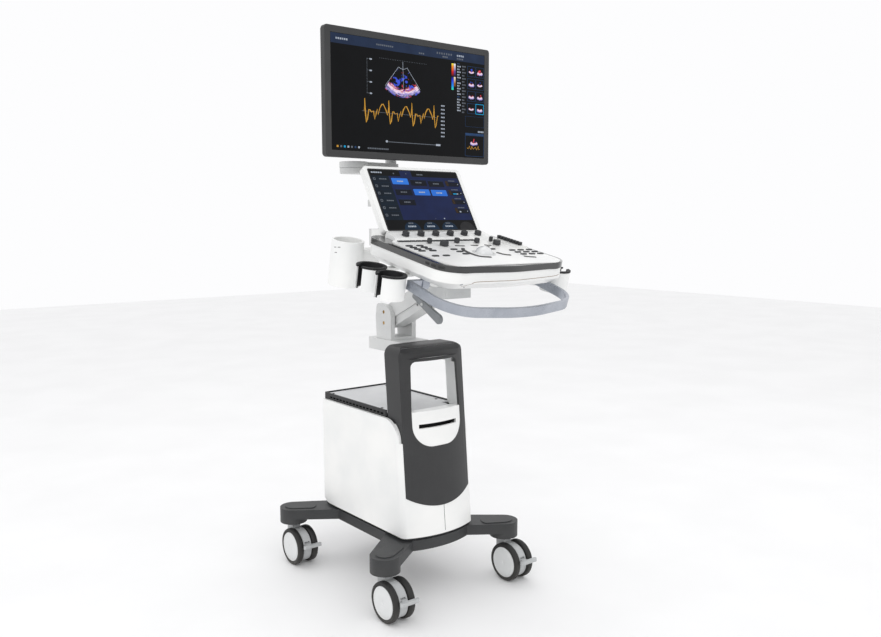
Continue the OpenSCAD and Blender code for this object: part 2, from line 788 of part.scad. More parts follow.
module console_deck() placed() on_deck() color("#f4f4f4") difference() {
    union() {
        translate([0, 0, 3]) linear_extrude(deck_top - 3) deck_opening(-key_slack);
        // sloping ledge for the six knobs
        side_view(ledge_half) polygon([[-44, band_h + 0.2], [-40, deck_top + 6], [2, deck_top + 12.4], [6, band_h + 0.2]]);
        bar(slider_x - 18, slider_x + 18, -160, -56, deck_top - 1, deck_top + 6);
    }
    translate([ball_at[0], ball_at[1], ball_z]) sphere(r = ball_r + fit_gap);
    key_caps(2, 30, key_slack);
    for (y = SLIDERS) bar(slider_x - 12, slider_x + 12, y - 1.5, y + 1.5, 0, 2 * deck_top);
    for (k = DECK_KNOBS) translate([k[0], k[1], 0]) cylinder(r = cap_stem_r + run_gap, h = 2 * deck_top);
    for (i = [0:5]) ledge_at(i) translate([0, 0, -far / 2]) cylinder(r = cap_stem_r + run_gap, h = far);
}

module deck_keys() placed() on_deck() color("#4b4c4f") key_caps(deck_top - 8, 8 + key_travel + 1, 0);

module knob(i) placed() on_deck() color("#55565a") ledge_at(i - 1) {
    difference() {
        translate([0, 0, 0.6]) cylinder(r = knob_d / 2, h = knob_h);
        translate([0, 0, knob_h]) cylinder(r = knob_d / 2 - 3, h = 3);
    }
    translate([0, 0, -9]) cylinder(r = cap_stem_r, h = 10);
}

module deck_knobs() placed() on_deck() color("#55565a") for (k = DECK_KNOBS) translate([k[0], k[1], 0]) {
    translate([0, 0, deck_top + 2]) cylinder(r = k[2], h = 12);
    translate([0, 0, deck_top - 8]) cylinder(r = cap_stem_r, h = 11);
}

module trackball() placed() on_deck() color("#e6e6e8")
    translate([ball_at[0], ball_at[1], ball_z]) sphere(r = ball_r);

module tgc_sliders() placed() on_deck() color("#2f3032") for (y = SLIDERS) {
    bar(slider_x - 5, slider_x + 5, y - 4.2, y + 4.2, deck_top + 6.6, deck_top + 15);
    bar(slider_x - 3, slider_x + 3, y - 1, y + 1, deck_top - 3, deck_top + 7);
}

module handle_plan(inset) hull() {
    for (s = [-1, 1]) translate([s * (handle_w / 2 - handle_r), handle_r + 16]) circle(handle_r - inset, $fn = 96);
    translate([0, handle_nose_r]) intersection() {
        circle(handle_nose_r - inset, $fn = 180);
        translate([-60, -handle_nose_r - 40]) square([120, 200]);
    }
    translate([-handle_w / 2 + inset, handle_r + 16]) square([handle_w - 2 * inset, 120]);
}

module handle() placed() color("#b7bcc4") {
    outer = handle_w / 2;
    translate([0, console_y + handle_front * cos(deck_tilt), console_z - handle_drop]) rotate([handle_tilt, 0, 0]) {
        difference() {
            linear_extrude(handle_h) handle_plan(0);
            translate([0, 0, -1]) linear_extrude(handle_h + 2) handle_plan(handle_t);
            bar(-far, far, handle_end, 2 * far, -1, far);
        }
        both_sides() bar(outer - 64, outer - 3, handle_end - handle_t, handle_end, 0, handle_h);
    }
    // posts up to the console's underside
    post_y = (handle_end * cos(handle_tilt) + handle_front * cos(deck_tilt)) / cos(deck_tilt) - 28;
    on_deck() both_sides() bar(outer - 64, outer - 64 + handle_post, post_y, post_y + 14, -shell_h - 22, -shell_h);
}

// Touch panel

module touch_frame() placed() color("#ededee") {
    difference() {
        on_touch() rotate([90, 0, 0]) translate([0, 0, -frame_t]) linear_extrude(frame_t)
            round_rect(2 * ledge_half, -2, touch_h + frame_top, 10);
        on_touch() rotate([90, 0, 0]) translate([0, 0, -glass_t - 0.2]) linear_extrude(frame_t)
            round_rect(touch_w + 0.4, 0, touch_h, 5);
    }
    bar(-housing_half + 30, housing_half - 30, touch_bottom_y + 20, housing_y + 20, housing_top_z, housing_top_z + 20);
}

module touch_glass() placed() on_touch() color("#10131c") rotate([90, 0, 0]) translate([0, 0, -glass_t])
    linear_extrude(glass_t) round_rect(touch_w, 0.2, touch_h - 0.2, 4.8);

// Accessories

module slotted_ring(r_out, r_in, h, slot) difference() {
    cylinder(r = r_out, h = h);
    translate([0, 0, -1]) cylinder(r = r_in, h = h + 2);
    bar(-far, 0, -slot / 2, slot / 2, -1, h + 1);
}

// a holder's slot faces away from the console
module at_cup(c) translate([c[0], c[1], cup_z - cup_h + (c[0] > 0 ? right_cup_lift : 0)]) mirror([c[0] > 0 ? 1 : 0, 0, 0]) children();

module probe_holders() placed() on_deck() color("#f3f3f3") for (c = CUPS) {
    edge = console_half - belly_inset - 12;
    at_cup(c) slotted_ring(cup_r, cup_r - cup_wall, cup_h - lip_h, cup_slot);
    bar(c[0] > 0 ? edge : c[0] + cup_r - 2, c[0] > 0 ? c[0] - cup_r + 2 : -edge, c[1] + c[2] - 10, c[1] + c[2] + 10,
        -shell_h - bracket_t, -shell_h);
}

module holder_liners() placed() on_deck() color("#1c1c1d") for (c = CUPS) at_cup(c) {
    slotted_ring(cup_r - cup_wall, cup_r - cup_wall - liner_t, cup_h - lip_h, cup_slot - 6);
    translate([0, 0, cup_h - lip_h]) slotted_ring(cup_r + 1.5, cup_r - cup_wall - liner_t, lip_h, cup_slot - 6);
}

module gel_warmer() placed() on_deck() color("#f3f3f4") translate([warmer_x, warmer_y, warmer_z - warmer_h]) {
    difference() {
        cylinder(r = warmer_r, h = warmer_h, $fn = 96);
        translate([0, 0, warmer_wall]) cylinder(r = warmer_bore_d / 2, h = warmer_h, $fn = 96);
    }
    bar(warmer_r - 2, -housing_half - warmer_x, -16, 16, 60, 96);
}

// Monitor arm and monitor

module monitor_neck() placed() color("#dfe0e2") {
    round_box(120, neck_y - 26, neck_y + 22, touch_bottom_z - 30, touch_bottom_z + 80, 16);
    hull() {
        round_box(196, neck_y - 20, neck_y + 18, touch_bottom_z + 66, touch_bottom_z + 84, 16);
        translate([0, neck_y, touch_bottom_z + 100]) cylinder(r = 34, h = 20);
    }
    translate([0, neck_y, touch_bottom_z + 100]) cylinder(r = 30, h = neck_top_z - touch_bottom_z - 100);
    translate([0, neck_y, neck_top_z - 1]) cylinder(r = neck_pin_r, h = link_h - 3);
    round_box(180, housing_rear_y, neck_y + 22, console_z - 10, housing_top_z, 12);
}

module monitor_arm_lower() placed() color("#e6e7e9") difference() {
    union() {
        translate([0, 0, link_z]) linear_extrude(link_h) hull() {
            translate([0, neck_y]) circle(30, $fn = 32);
            translate([elbow_x, elbow_y]) circle(elbow_r - 1, $fn = 64);
        }
        translate([elbow_x, elbow_y, link_z]) cylinder(r = neck_pin_r, h = link_h + elbow_pin_h);
    }
    translate([0, neck_y, link_z - 1]) cylinder(r = neck_pin_r + run_gap, h = link_h - 2);
}

module monitor_arm_upper() placed() color("#e6e7e9") {
    difference() {
        union() {
            translate([elbow_x, elbow_y, upper_z]) cylinder(r = elbow_r, h = upper_h);
            translate([0, 0, upper_z + 3]) linear_extrude(upper_h - 3) hull() {
                translate([elbow_x, elbow_y]) circle(26, $fn = 32);
                translate([0, mast_y]) circle(22, $fn = 32);
            }
        }
        translate([elbow_x, elbow_y, upper_z - 1]) cylinder(r = neck_pin_r + run_gap, h = elbow_pin_h + 2);
    }
    translate([0, mast_y, upper_z + 3]) cylinder(r = mast_r, h = mast_top_z - upper_z - 3);
}

module monitor_bracket() placed() color("#8f9296") {
    difference() {
        union() {
            translate([0, mast_y, screen_z - 60]) cylinder(r = 24, h = 60);
            bar(-20, 20, tilt_y + 4, mast_y, screen_z - 50, screen_z - 10);
        }
        translate([0, mast_y, screen_z - 70]) cylinder(r = mast_r + run_gap, h = 100);
    }
    translate([0, tilt_y, tilt_z]) x_rod(9, tilt_lug_x - 1);
    translate([0, tilt_y, tilt_z]) x_rod(tilt_pin_r, tilt_lug_x + tilt_lug_t + 1);
}

module monitor_back() placed() color("#303133") {
    y0 = monitor_y + bezel_t;
    translate([0, y0, screen_z]) rotate([-90, 0, 0]) hull() {
        linear_extrude(4) round_rect(screen_w + 2 * bezel_w - 4, -screen_h / 2 - bezel_w + 2, screen_h / 2 + bezel_w - 2, 8);
        linear_extrude(back_t) round_rect(screen_w - 60, -screen_h / 2 + 40, screen_h / 2 - 30, 20);
    }
    difference() {
        both_sides() bar(tilt_lug_x, tilt_lug_x + tilt_lug_t, y0 + back_t - 4, tilt_y + 12, tilt_z - 14, tilt_z + 14);
        translate([0, tilt_y, tilt_z]) x_rod(tilt_pin_r + run_gap, 2 * tilt_lug_x);
    }
}

module monitor_bezel() placed() color("#3a3b3d") difference() {
    translate([0, monitor_y, screen_z]) rotate([-90, 0, 0]) linear_extrude(bezel_t)
        round_rect(screen_w + 2 * bezel_w, -screen_h / 2 - bezel_w, screen_h / 2 + bezel_w, 9);
    bar(-screen_w / 2, screen_w / 2, monitor_y - 1, monitor_y + screen_recess,
        screen_z - screen_h / 2, screen_z + screen_h / 2);
}

module monitor_screen() placed() color("#06080c")
    bar(0.2 - screen_w / 2, screen_w / 2 - 0.2, monitor_y + 1, monitor_y + screen_recess,
        screen_z - screen_h / 2 + 0.2, screen_z + screen_h / 2 - 0.2);

base_platform();
side_cover_left();
side_cover_right();
rear_panel();
column_cover();
column_frame();
printer_bezel();
printer_unit();
top_tray();
tray_rim();
chassis();
electronics_module();
power_supply();
power_inlet();
probe_sockets();
caster_fork(CASTERS[0]);  // caster_fork_fl
caster_fork(CASTERS[1]);  // caster_fork_fr
caster_fork(CASTERS[2]);  // caster_fork_rl
caster_fork(CASTERS[3]);  // caster_fork_rr
caster_wheels(CASTERS[0]);  // caster_wheels_fl
caster_wheels(CASTERS[1]);  // caster_wheels_fr
caster_wheels(CASTERS[2]);  // caster_wheels_rl
caster_wheels(CASTERS[3]);  // caster_wheels_rr
caster_pedal(CASTERS[0]);  // caster_pedal_fl
caster_pedal(CASTERS[1]);  // caster_pedal_fr
caster_pedal(CASTERS[2]);  // caster_pedal_rl
caster_pedal(CASTERS[3]);  // caster_pedal_rr
lift_yoke();
lift_pins();
lift_arm_upper();
lift_arm_lower();
lift_head();
release_lever();
console_shell();
console_band();
console_deck();
handle();
touch_frame();
touch_glass();
knob(1);  // knob_1
knob(2);  // knob_2
knob(3);  // knob_3
knob(4);  // knob_4
knob(5);  // knob_5
knob(6);  // knob_6
deck_knobs();
trackball();
deck_keys();
tgc_sliders();
probe_holders();
holder_liners();
gel_warmer();
monitor_neck();
monitor_arm_lower();
monitor_arm_upper();
monitor_bracket();
monitor_back();
monitor_bezel();
monitor_screen();
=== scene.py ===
import json
import math

import bmesh
import bpy
from mathutils import Matrix, Vector
from mathutils.bvhtree import BVHTree


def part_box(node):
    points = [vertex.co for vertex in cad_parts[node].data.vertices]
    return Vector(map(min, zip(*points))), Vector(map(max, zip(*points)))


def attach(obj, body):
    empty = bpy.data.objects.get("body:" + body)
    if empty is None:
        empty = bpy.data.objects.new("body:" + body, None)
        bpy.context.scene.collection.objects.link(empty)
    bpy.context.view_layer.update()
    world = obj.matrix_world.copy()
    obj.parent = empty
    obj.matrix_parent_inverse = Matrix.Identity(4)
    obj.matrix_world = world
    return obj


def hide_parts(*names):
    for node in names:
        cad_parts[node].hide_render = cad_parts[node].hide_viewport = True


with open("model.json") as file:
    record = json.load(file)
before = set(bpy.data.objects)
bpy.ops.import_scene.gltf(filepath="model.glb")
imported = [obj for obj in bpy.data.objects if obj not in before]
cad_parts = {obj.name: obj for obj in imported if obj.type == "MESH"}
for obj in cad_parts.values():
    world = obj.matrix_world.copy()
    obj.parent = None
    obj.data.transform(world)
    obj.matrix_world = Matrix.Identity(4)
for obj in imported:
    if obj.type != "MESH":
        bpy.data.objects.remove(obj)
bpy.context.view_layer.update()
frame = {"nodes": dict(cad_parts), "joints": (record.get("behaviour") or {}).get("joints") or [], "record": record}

mm = 0.001
bodyOf = {node: body for body, nodes in frame["record"]["behaviour"]["bodies"].items() for node in nodes}
jointOf = {joint["name"]: joint for joint in frame["joints"]}
slotOf = {row["node"]: row["material_slot"] for row in frame["record"]["subparts"]}
print("frame loaded:", len(frame["nodes"]), "nodes")

# camera and light
cameraSet = {"place": (-1.4505, -1.8894, 1.0475), "turn": 38.53, "dip": 7.21, "lens": 34.76,
             "shiftX": 0.0039, "shiftY": 0.0095}
cameraData = bpy.data.cameras.new("studioCamera")
cameraData.lens = cameraSet["lens"]
cameraData.sensor_width = 36
cameraData.shift_x = cameraSet["shiftX"]
cameraData.shift_y = cameraSet["shiftY"]
camera = bpy.data.objects.new("studioCamera", cameraData)
camera.location = cameraSet["place"]
camera.rotation_euler = (math.radians(90 - cameraSet["dip"]), 0, -math.radians(cameraSet["turn"]))
bpy.context.collection.objects.link(camera)
bpy.context.scene.camera = camera
bpy.context.scene.view_settings.view_transform = "Standard"


def softLight(name, place, target, size, watts):
    data = bpy.data.lights.new(name, "AREA")
    data.shape = "RECTANGLE"
    data.size = size[0]
    data.size_y = size[1]
    data.energy = watts
    lamp = bpy.data.objects.new(name, data)
    lamp.location = place
    lamp.rotation_euler = (Vector(target) - Vector(place)).to_track_quat("-Z", "Y").to_euler()
    bpy.context.collection.objects.link(lamp)


studioLights = {      # place, what it points at, size, watts
    "keyLight": ((-2.6, -2.2, 2.9), (0, 0, 0.7), (2.4, 2.4), 26),
    "fillLight": ((2.9, -1.6, 1.9), (0, 0, 0.7), (2.0, 2.6), 3),
    "topLight": ((0.2, 0.6, 3.4), (0, 0, 0.6), (2.6, 2.6), 10),
}
for name, settings in studioLights.items():
    softLight(name, *settings)
print("camera and lights made")


# materials
noiseSpan = {"From Min": 0.35, "From Max": 0.65}      # where most of a noise texture's values lie
speckSpan = {"From Min": 0.4, "From Max": 0.62, "To Max": 0.5}      # the grain's peaks, half covered
dustMost = 0.6      # share of dust at the floor


def hexLinear(code):
    parts = [int(code[i:i + 2], 16) / 255 for i in (1, 3, 5)]
    return tuple(p / 12.92 if p <= 0.04045 else ((p + 0.055) / 1.055) ** 2.4 for p in parts) + (1.0,)


# a capital or a number is a socket, a small letter is a setting; stops are (position, colour) pairs of a ramp
def addNode(tree, kind, settings=(), links=(), stops=()):
    node = tree.nodes.new(kind)
    for key, value in dict(settings).items():
        if isinstance(key, str) and key[0].islower():
            setattr(node, key, value)
        else:
            node.inputs[key].default_value = value
    for key, source in dict(links).items():
        tree.links.new(source, node.inputs[key])
    for _ in stops[2:]:
        node.color_ramp.elements.new(0.5)
    for stop, (position, code) in enumerate(stops):
        node.color_ramp.elements[stop].position = position
        node.color_ramp.elements[stop].color = hexLinear(code)
    return node


def startMaterial(name, sockets):
    material = bpy.data.materials.new(name)
    material.use_nodes = True
    tree = material.node_tree
    shader = tree.nodes["Principled BSDF"]
    for socket, value in sockets.items():
        shader.inputs[socket].default_value = value
    place = addNode(tree, "ShaderNodeTexCoord").outputs["Object"]
    return material, tree, shader, place


# two shades that drift over the piece, and a fine grain in its roughness and relief
def moulded(name, look):
    sockets = {"IOR": look.get("ior", 1.5), "Metallic": look.get("metallic", 0.0),
               "Coat Weight": look.get("coat", 0.0), "Coat Roughness": look.get("coatRoughness", 0.1)}
    material, tree, shader, place = startMaterial(name, sockets)
    mottle = addNode(tree, "ShaderNodeTexNoise", {"Scale": 1 / (look["mottleMm"] * mm), "Detail": 3.0},
                     {"Vector": place})
    stretch = addNode(tree, "ShaderNodeMapping", {"Scale": look.get("stretch", (1, 1, 1))}, {"Vector": place})
    fine = addNode(tree, "ShaderNodeTexNoise", {"Scale": 1 / (look["grainMm"] * mm), "Detail": 2.0},
                   {"Vector": stretch.outputs[0]})
    spread = addNode(tree, "ShaderNodeMapRange", noiseSpan, {"Value": mottle.outputs[0]})
    tint = addNode(tree, "ShaderNodeMix", {"data_type": "RGBA", 6: hexLinear(look["colour"]),
                                           7: hexLinear(look["shade"])}, {0: spread.outputs[0]})
    colour = tint.outputs[2]
    if "speck" in look:      # fine two-tone grain of the texture itself
        grit = addNode(tree, "ShaderNodeMapRange", speckSpan, {"Value": fine.outputs[0]})
        colour = addNode(tree, "ShaderNodeMix", {"data_type": "RGBA", 7: hexLinear(look["speck"])},
                         {0: grit.outputs[0], 6: colour}).outputs[2]
    if "dust" in look:       # dust, thicker towards the floor
        height = addNode(tree, "ShaderNodeSeparateXYZ", {}, {"Vector": place})
        low = addNode(tree, "ShaderNodeMapRange", {
            "From Min": look["dustTop"], "From Max": 0.0, "To Max": dustMost}, {"Value": height.outputs[2]})
        patchy = addNode(tree, "ShaderNodeMath", {"operation": "MULTIPLY"},
                         {0: low.outputs[0], 1: mottle.outputs[0]})
        colour = addNode(tree, "ShaderNodeMix", {"data_type": "RGBA", 7: hexLinear(look["dust"])},
                         {0: patchy.outputs[0], 6: colour}).outputs[2]
    smoothest, roughest = look["roughness"]
    rough = addNode(tree, "ShaderNodeMapRange", {**noiseSpan, "To Min": smoothest, "To Max": roughest},
                    {"Value": fine.outputs[0]})
    bump = addNode(tree, "ShaderNodeBump", {
        "Strength": look.get("bump", 0.4), "Distance": look["depthMm"] * mm}, {"Height": fine.outputs[0]})
    tree.links.new(colour, shader.inputs["Base Color"])
    tree.links.new(rough.outputs[0], shader.inputs["Roughness"])
    tree.links.new(bump.outputs[0], shader.inputs["Normal"])
    return material


# the mouldings' real grain is 0.1 to 0.3 mm; it is drawn at 1 to 2 mm, as coarse as it needs to show
finishes = {
    # polyurethane covers, painted satin white: a calm sheen with a fine orange peel
    "white_cover": moulded("paintedPolyurethane", {
        "colour": "#f2f2f0", "shade": "#e9eae9", "mottleMm": 160, "grainMm": 2.2, "depthMm": 0.05,
        "roughness": (0.30, 0.42), "coat": 0.25, "coatRoughness": 0.22, "bump": 0.25}),
    # charcoal ABS with a spark-eroded texture: soft broad highlights
    "charcoal_cover": moulded("texturedCharcoalAbs", {
        "colour": "#2b2b2c", "shade": "#242425", "speck": "#343536", "mottleMm": 90, "grainMm": 1.3,
        "depthMm": 0.1, "roughness": (0.38, 0.52)}),
    # die-cast base, powder coated charcoal: pebbly, slightly dusty low down
    "base_grey": moulded("powderCoatedAluminium", {
        "colour": "#2f3031", "shade": "#28292a", "speck": "#393a3c", "dust": "#6a6966", "dustTop": 0.17,
        "mottleMm": 60, "grainMm": 1.6, "depthMm": 0.18, "roughness": (0.42, 0.58)}),
    # black ABS trim, lightly textured: dark with a broken, dull highlight
    "black_plastic": moulded("texturedBlackAbs", {
        "colour": "#161617", "shade": "#121213", "speck": "#1e1f20", "mottleMm": 50, "grainMm": 1.2,
        "depthMm": 0.1, "roughness": (0.38, 0.55)}),
    # piano-black acrylic band: deep gloss with faint wiping marks
    "gloss_band": moulded("pianoBlackAcrylic", {
        "colour": "#0a0a0b", "shade": "#0e0e0f", "mottleMm": 40, "grainMm": 9, "depthMm": 0.02, "bump": 0.1,
        "roughness": (0.10, 0.2), "coat": 1.0, "coatRoughness": 0.04, "ior": 1.49}),
    # light grey ABS of the lift covers, satin painted: plain and slightly darker than the white
    "light_grey": moulded("satinGreyAbs", {
        "colour": "#d2d3d2", "shade": "#c8c9c9", "mottleMm": 110, "grainMm": 1.5, "depthMm": 0.08,
        "roughness": (0.38, 0.5)}),
    # painted aluminium casting: fine pebble under satin paint
    "cast_alloy": moulded("paintedCasting", {
        "colour": "#c4c6c6", "shade": "#b6b8b9", "speck": "#d0d1d1", "mottleMm": 45, "grainMm": 1.8,
        "depthMm": 0.2, "roughness": (0.38, 0.52)}),
    # anodised aluminium handle, brushed along its length: cool silver with long soft streaks
    "handle_alloy": moulded("anodisedAluminium", {
        "colour": "#b4b8c0", "shade": "#9da2ab", "metallic": 1.0, "mottleMm": 80, "grainMm": 1.6,
        "stretch": (0.06, 1, 1), "depthMm": 0.06, "roughness": (0.26, 0.4)}),
    # turned brass pins, dulled by handling
    "pin_brass": moulded("turnedBrass", {
        "colour": "#b8924c", "shade": "#8c6a32", "metallic": 1.0, "mottleMm": 12, "grainMm": 1.0,
        "depthMm": 0.05, "roughness": (0.25, 0.45)}),
    # cast polyurethane tread: matt black, dust in its skin
    "tyre": moulded("castPolyurethane", {
        "colour": "#141415", "shade": "#101011", "speck": "#1d1d1e", "dust": "#5b5852", "dustTop": 0.11,
        "mottleMm": 22, "grainMm": 1.2, "depthMm": 0.12, "roughness": (0.5, 0.7)}),
    # glass-filled nylon pedals and forks: flat grey with a faint fleck
    "pedal_grey": moulded("glassFilledNylon", {
        "colour": "#b9bbbc", "shade": "#a9abac", "speck": "#c6c8c8", "mottleMm": 30, "grainMm": 1.1,
        "depthMm": 0.12, "roughness": (0.4, 0.56)}),
    # tray, pebbled ABS: light grey with a fine even grain
    "tray_grey": moulded("pebbledTrayAbs", {
        "colour": "#c9cacb", "shade": "#bfc0c2", "speck": "#d4d5d5", "mottleMm": 90, "grainMm": 1.6,
        "depthMm": 0.2, "roughness": (0.42, 0.56)}),
    # soft-touch elastomer knobs: dark, with hardly any highlight
    "knob_grey": moulded("softTouchElastomer", {
        "colour": "#36373a", "shade": "#2e2f31", "mottleMm": 14, "grainMm": 0.9, "depthMm": 0.05,
        "roughness": (0.45, 0.6)}),
    # trackball, polished phenolic resin: pale and glossy with a sharp highlight
    "ball_plastic": moulded("polishedResin", {
        "colour": "#dfe0e0", "shade": "#d2d4d5", "mottleMm": 18, "grainMm": 5, "depthMm": 0.01, "bump": 0.1,
        "roughness": (0.1, 0.18), "coat": 0.8, "coatRoughness": 0.05, "ior": 1.6}),
    # strengthened cover glass over a dark panel: near black with a wide soft reflection
    "screen_glass": moulded("coverGlass", {
        "colour": "#050608", "shade": "#08090c", "mottleMm": 60, "grainMm": 14, "depthMm": 0.01, "bump": 0.05,
        "roughness": (0.16, 0.26), "ior": 1.52}),
    # moulded silicone cup liners: matt black
    "liner_rubber": moulded("siliconeRubber", {
        "colour": "#18181a", "shade": "#131315", "speck": "#202022", "mottleMm": 20, "grainMm": 1.2,
        "depthMm": 0.1, "roughness": (0.5, 0.66), "ior": 1.43}),
    # satin slate paint of the release lever: mid grey, smoother than the castings
    "lever_grey": moulded("satinSlatePaint", {
        "colour": "#7d8083", "shade": "#707376", "speck": "#898c8f", "mottleMm": 30, "grainMm": 1.2,
        "depthMm": 0.08, "roughness": (0.32, 0.46)}),
    # galvanised sheet of the modules: dull metal with spangle
    "module_metal": moulded("galvanisedSteel", {
        "colour": "#a9adb0", "shade": "#8f9498", "metallic": 1.0, "mottleMm": 9, "grainMm": 3.5,
        "depthMm": 0.03, "roughness": (0.34, 0.5)}),
}


# a display's glass: nearly black and hardly reflecting, so that only its own light shows
def displayGlass(name, strength=1.0):
    return startMaterial(name, {"Base Color": hexLinear("#020203"), "Roughness": 0.25, "IOR": 1.5,
                                "Specular IOR Level": 0.12, "Emission Strength": strength})


# one lit colour, slightly uneven
def lit(name, colour, shade, grainMm=6.0):
    material, tree, shader, place = displayGlass(name)
    cells = addNode(tree, "ShaderNodeTexNoise", {"Scale": 1 / (grainMm * mm), "Detail": 2.0},
                    {"Vector": place})
    spread = addNode(tree, "ShaderNodeMapRange", noiseSpan, {"Value": cells.outputs[0]})
    tint = addNode(tree, "ShaderNodeMix", {"data_type": "RGBA", 6: hexLinear(colour), 7: hexLinear(shade)},
                   {0: spread.outputs[0]})
    tree.links.new(tint.outputs[2], shader.inputs["Emission Color"])
    return material


# colours that run upwards from the height low to the height high, both in metres
def litRamp(name, low, high, stops):
    material, tree, shader, place = displayGlass(name)
    split = addNode(tree, "ShaderNodeSeparateXYZ", {}, {"Vector": place})
    run = addNode(tree, "ShaderNodeMapRange", {"From Min": low, "From Max": high},
                  {"Value": split.outputs["Z"]})
    ramp = addNode(tree, "ShaderNodeValToRGB", {}, {0: run.outputs[0]}, stops)
    tree.links.new(ramp.outputs[0], shader.inputs["Emission Color"])
    return material


print("materials made:", len(finishes))


# mesh tools; outlines, widths and heights are in millimetres
edges = {"segments": 3, "fold": 35, "sharp": 40}      # how a new piece's edges are rounded, angles in degrees


# makes the mesh an object with its edges, finish and body
def finishPiece(bm, name, body, finish, edge=0.0, sharp=edges["sharp"], extra=()):
    bmesh.ops.recalc_face_normals(bm, faces=bm.faces)
    mesh = bpy.data.meshes.new(name)
    bm.to_mesh(mesh)
    bm.free()
    obj = bpy.data.objects.new(name, mesh)
    bpy.context.collection.objects.link(obj)
    mesh.shade_smooth()
    mesh.set_sharp_from_angle(angle=math.radians(sharp))
    first = finishes[finish] if isinstance(finish, str) else finish
    for material in [first, *extra]:
        mesh.materials.append(material)
    if edge:
        roundEdges(obj, edge, edges["segments"], edges["fold"], True)
    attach(obj, body)
    return obj


def roundEdges(obj, width, segments, fold, harden):
    bevel = obj.modifiers.new("softEdge", "BEVEL")
    bevel.width = width * mm
    bevel.segments = segments
    bevel.limit_method = "ANGLE"
    bevel.angle_limit = math.radians(fold)
    bevel.harden_normals = harden


# closed outline, raised from low to high
def prism(bm, outline, low, high, place=Matrix(), index=0):
    bottom = [bm.verts.new(place @ Vector((x * mm, y * mm, low * mm))) for x, y in outline]
    top = [bm.verts.new(place @ Vector((x * mm, y * mm, high * mm))) for x, y in outline]
    faces = [bm.faces.new(top), bm.faces.new(bottom[::-1])]
    for i in range(len(outline)):
        j = (i + 1) % len(outline)
        faces.append(bm.faces.new((bottom[i], bottom[j], top[j], top[i])))
    for face in faces:
        face.material_index = index


# four faces round each step of a band whose cross-sections have four corners
def bandFaces(bm, pairs):
    return [bm.faces.new((a[k], a[(k + 1) % 4], b[(k + 1) % 4], b[k])) for a, b in pairs for k in range(4)]


# flat band along points, of one width or a width for each point
def strip(bm, points, width, low, high, place=Matrix(), index=0, loop=False):
    count = len(points)
    ring = []
    for i, point in enumerate(points):
        before = points[(i - 1) % count] if loop or i else point
        after = points[(i + 1) % count] if loop or i < count - 1 else point
        along = Vector((after[0] - before[0], after[1] - before[1])).normalized()
        side = Vector((-along.y, along.x)) * (width[i] if isinstance(width, list) else width) / 2
        corners = [(point[0] + side.x, point[1] + side.y, high), (point[0] - side.x, point[1] - side.y, high),
                   (point[0] - side.x, point[1] - side.y, low), (point[0] + side.x, point[1] + side.y, low)]
        ring.append([bm.verts.new(place @ (Vector(c) * mm)) for c in corners])
    pairs = [(ring[i], ring[(i + 1) % count]) for i in range(count if loop else count - 1)]
    faces = bandFaces(bm, pairs)
    if not loop:
        faces += [bm.faces.new(ring[0][::-1]), bm.faces.new(ring[-1])]
    for face in faces:
        face.material_index = index


# points on an arc of an ellipse, from one angle to another in degrees
def arc(cx, cy, reachX, reachY, start, end, steps):
    turns = [math.radians(start + (end - start) * i / steps) for i in range(steps + 1)]
    return [(cx + reachX * math.cos(turn), cy + reachY * math.sin(turn)) for turn in turns]


# outline of a rectangle, with round corners if it has a radius
def roundedBox(cx, cy, width, height, radius, steps):
    points = []
    for k, (sx, sy) in enumerate(((1, 1), (-1, 1), (-1, -1), (1, -1))):
        x, y = cx + sx * (width / 2 - radius), cy + sy * (height / 2 - radius)
        points += arc(x, y, radius, radius, 90 * k, 90 * k + 90, steps) if radius else [(x, y)]
    return points


# profile of (radius, height) turned about z; it closes on itself, or by its ends on the axis
def lathe(bm, profile, place, steps, flutes=0, fluteDepth=0.0, flutedRows=()):
    rings = []
    for row, (radius, height) in enumerate(profile):
        if radius == 0:
            rings.append([bm.verts.new(place @ Vector((0, 0, height * mm)))])
            continue
        ring = []
        for i in range(steps):
            turn = 2 * math.pi * i / steps
            reach = radius
            if row in flutedRows:
                reach -= fluteDepth * (0.5 - 0.5 * math.cos(flutes * turn))
            point = Vector((reach * math.cos(turn), reach * math.sin(turn), height))
            ring.append(bm.verts.new(place @ (point * mm)))
        rings.append(ring)
    pairs = list(zip(rings, rings[1:]))
    if len(rings[0]) > 1 and len(rings[-1]) > 1:
        pairs.append((rings[-1], rings[0]))
    for a, b in pairs:
        for i in range(steps):
            j = (i + 1) % steps
            corners = [a[i % len(a)], a[j % len(a)], b[j % len(b)], b[i % len(b)]]
            bm.faces.new(list(dict.fromkeys(corners)))      # a ring that is one point gives a triangle


# place with its z along a direction, at a point in metres
def facing(point, direction):
    turn = Vector(direction).to_track_quat("Z", "X").to_matrix().to_4x4()
    return Matrix.Translation(Vector(point)) @ turn


treeOf = {}      # search trees of the CAD nodes asked for so far


# where a line from start meets a CAD node's surface
def touchDown(node, start, direction):
    if node not in treeOf:
        mesh = frame["nodes"][node].data
        faces = [tuple(p.vertices) for p in mesh.polygons]
        treeOf[node] = BVHTree.FromPolygons([v.co for v in mesh.vertices], faces)
    place, normal, _, _ = treeOf[node].ray_cast(Vector(start), Vector(direction).normalized())
    return place, normal


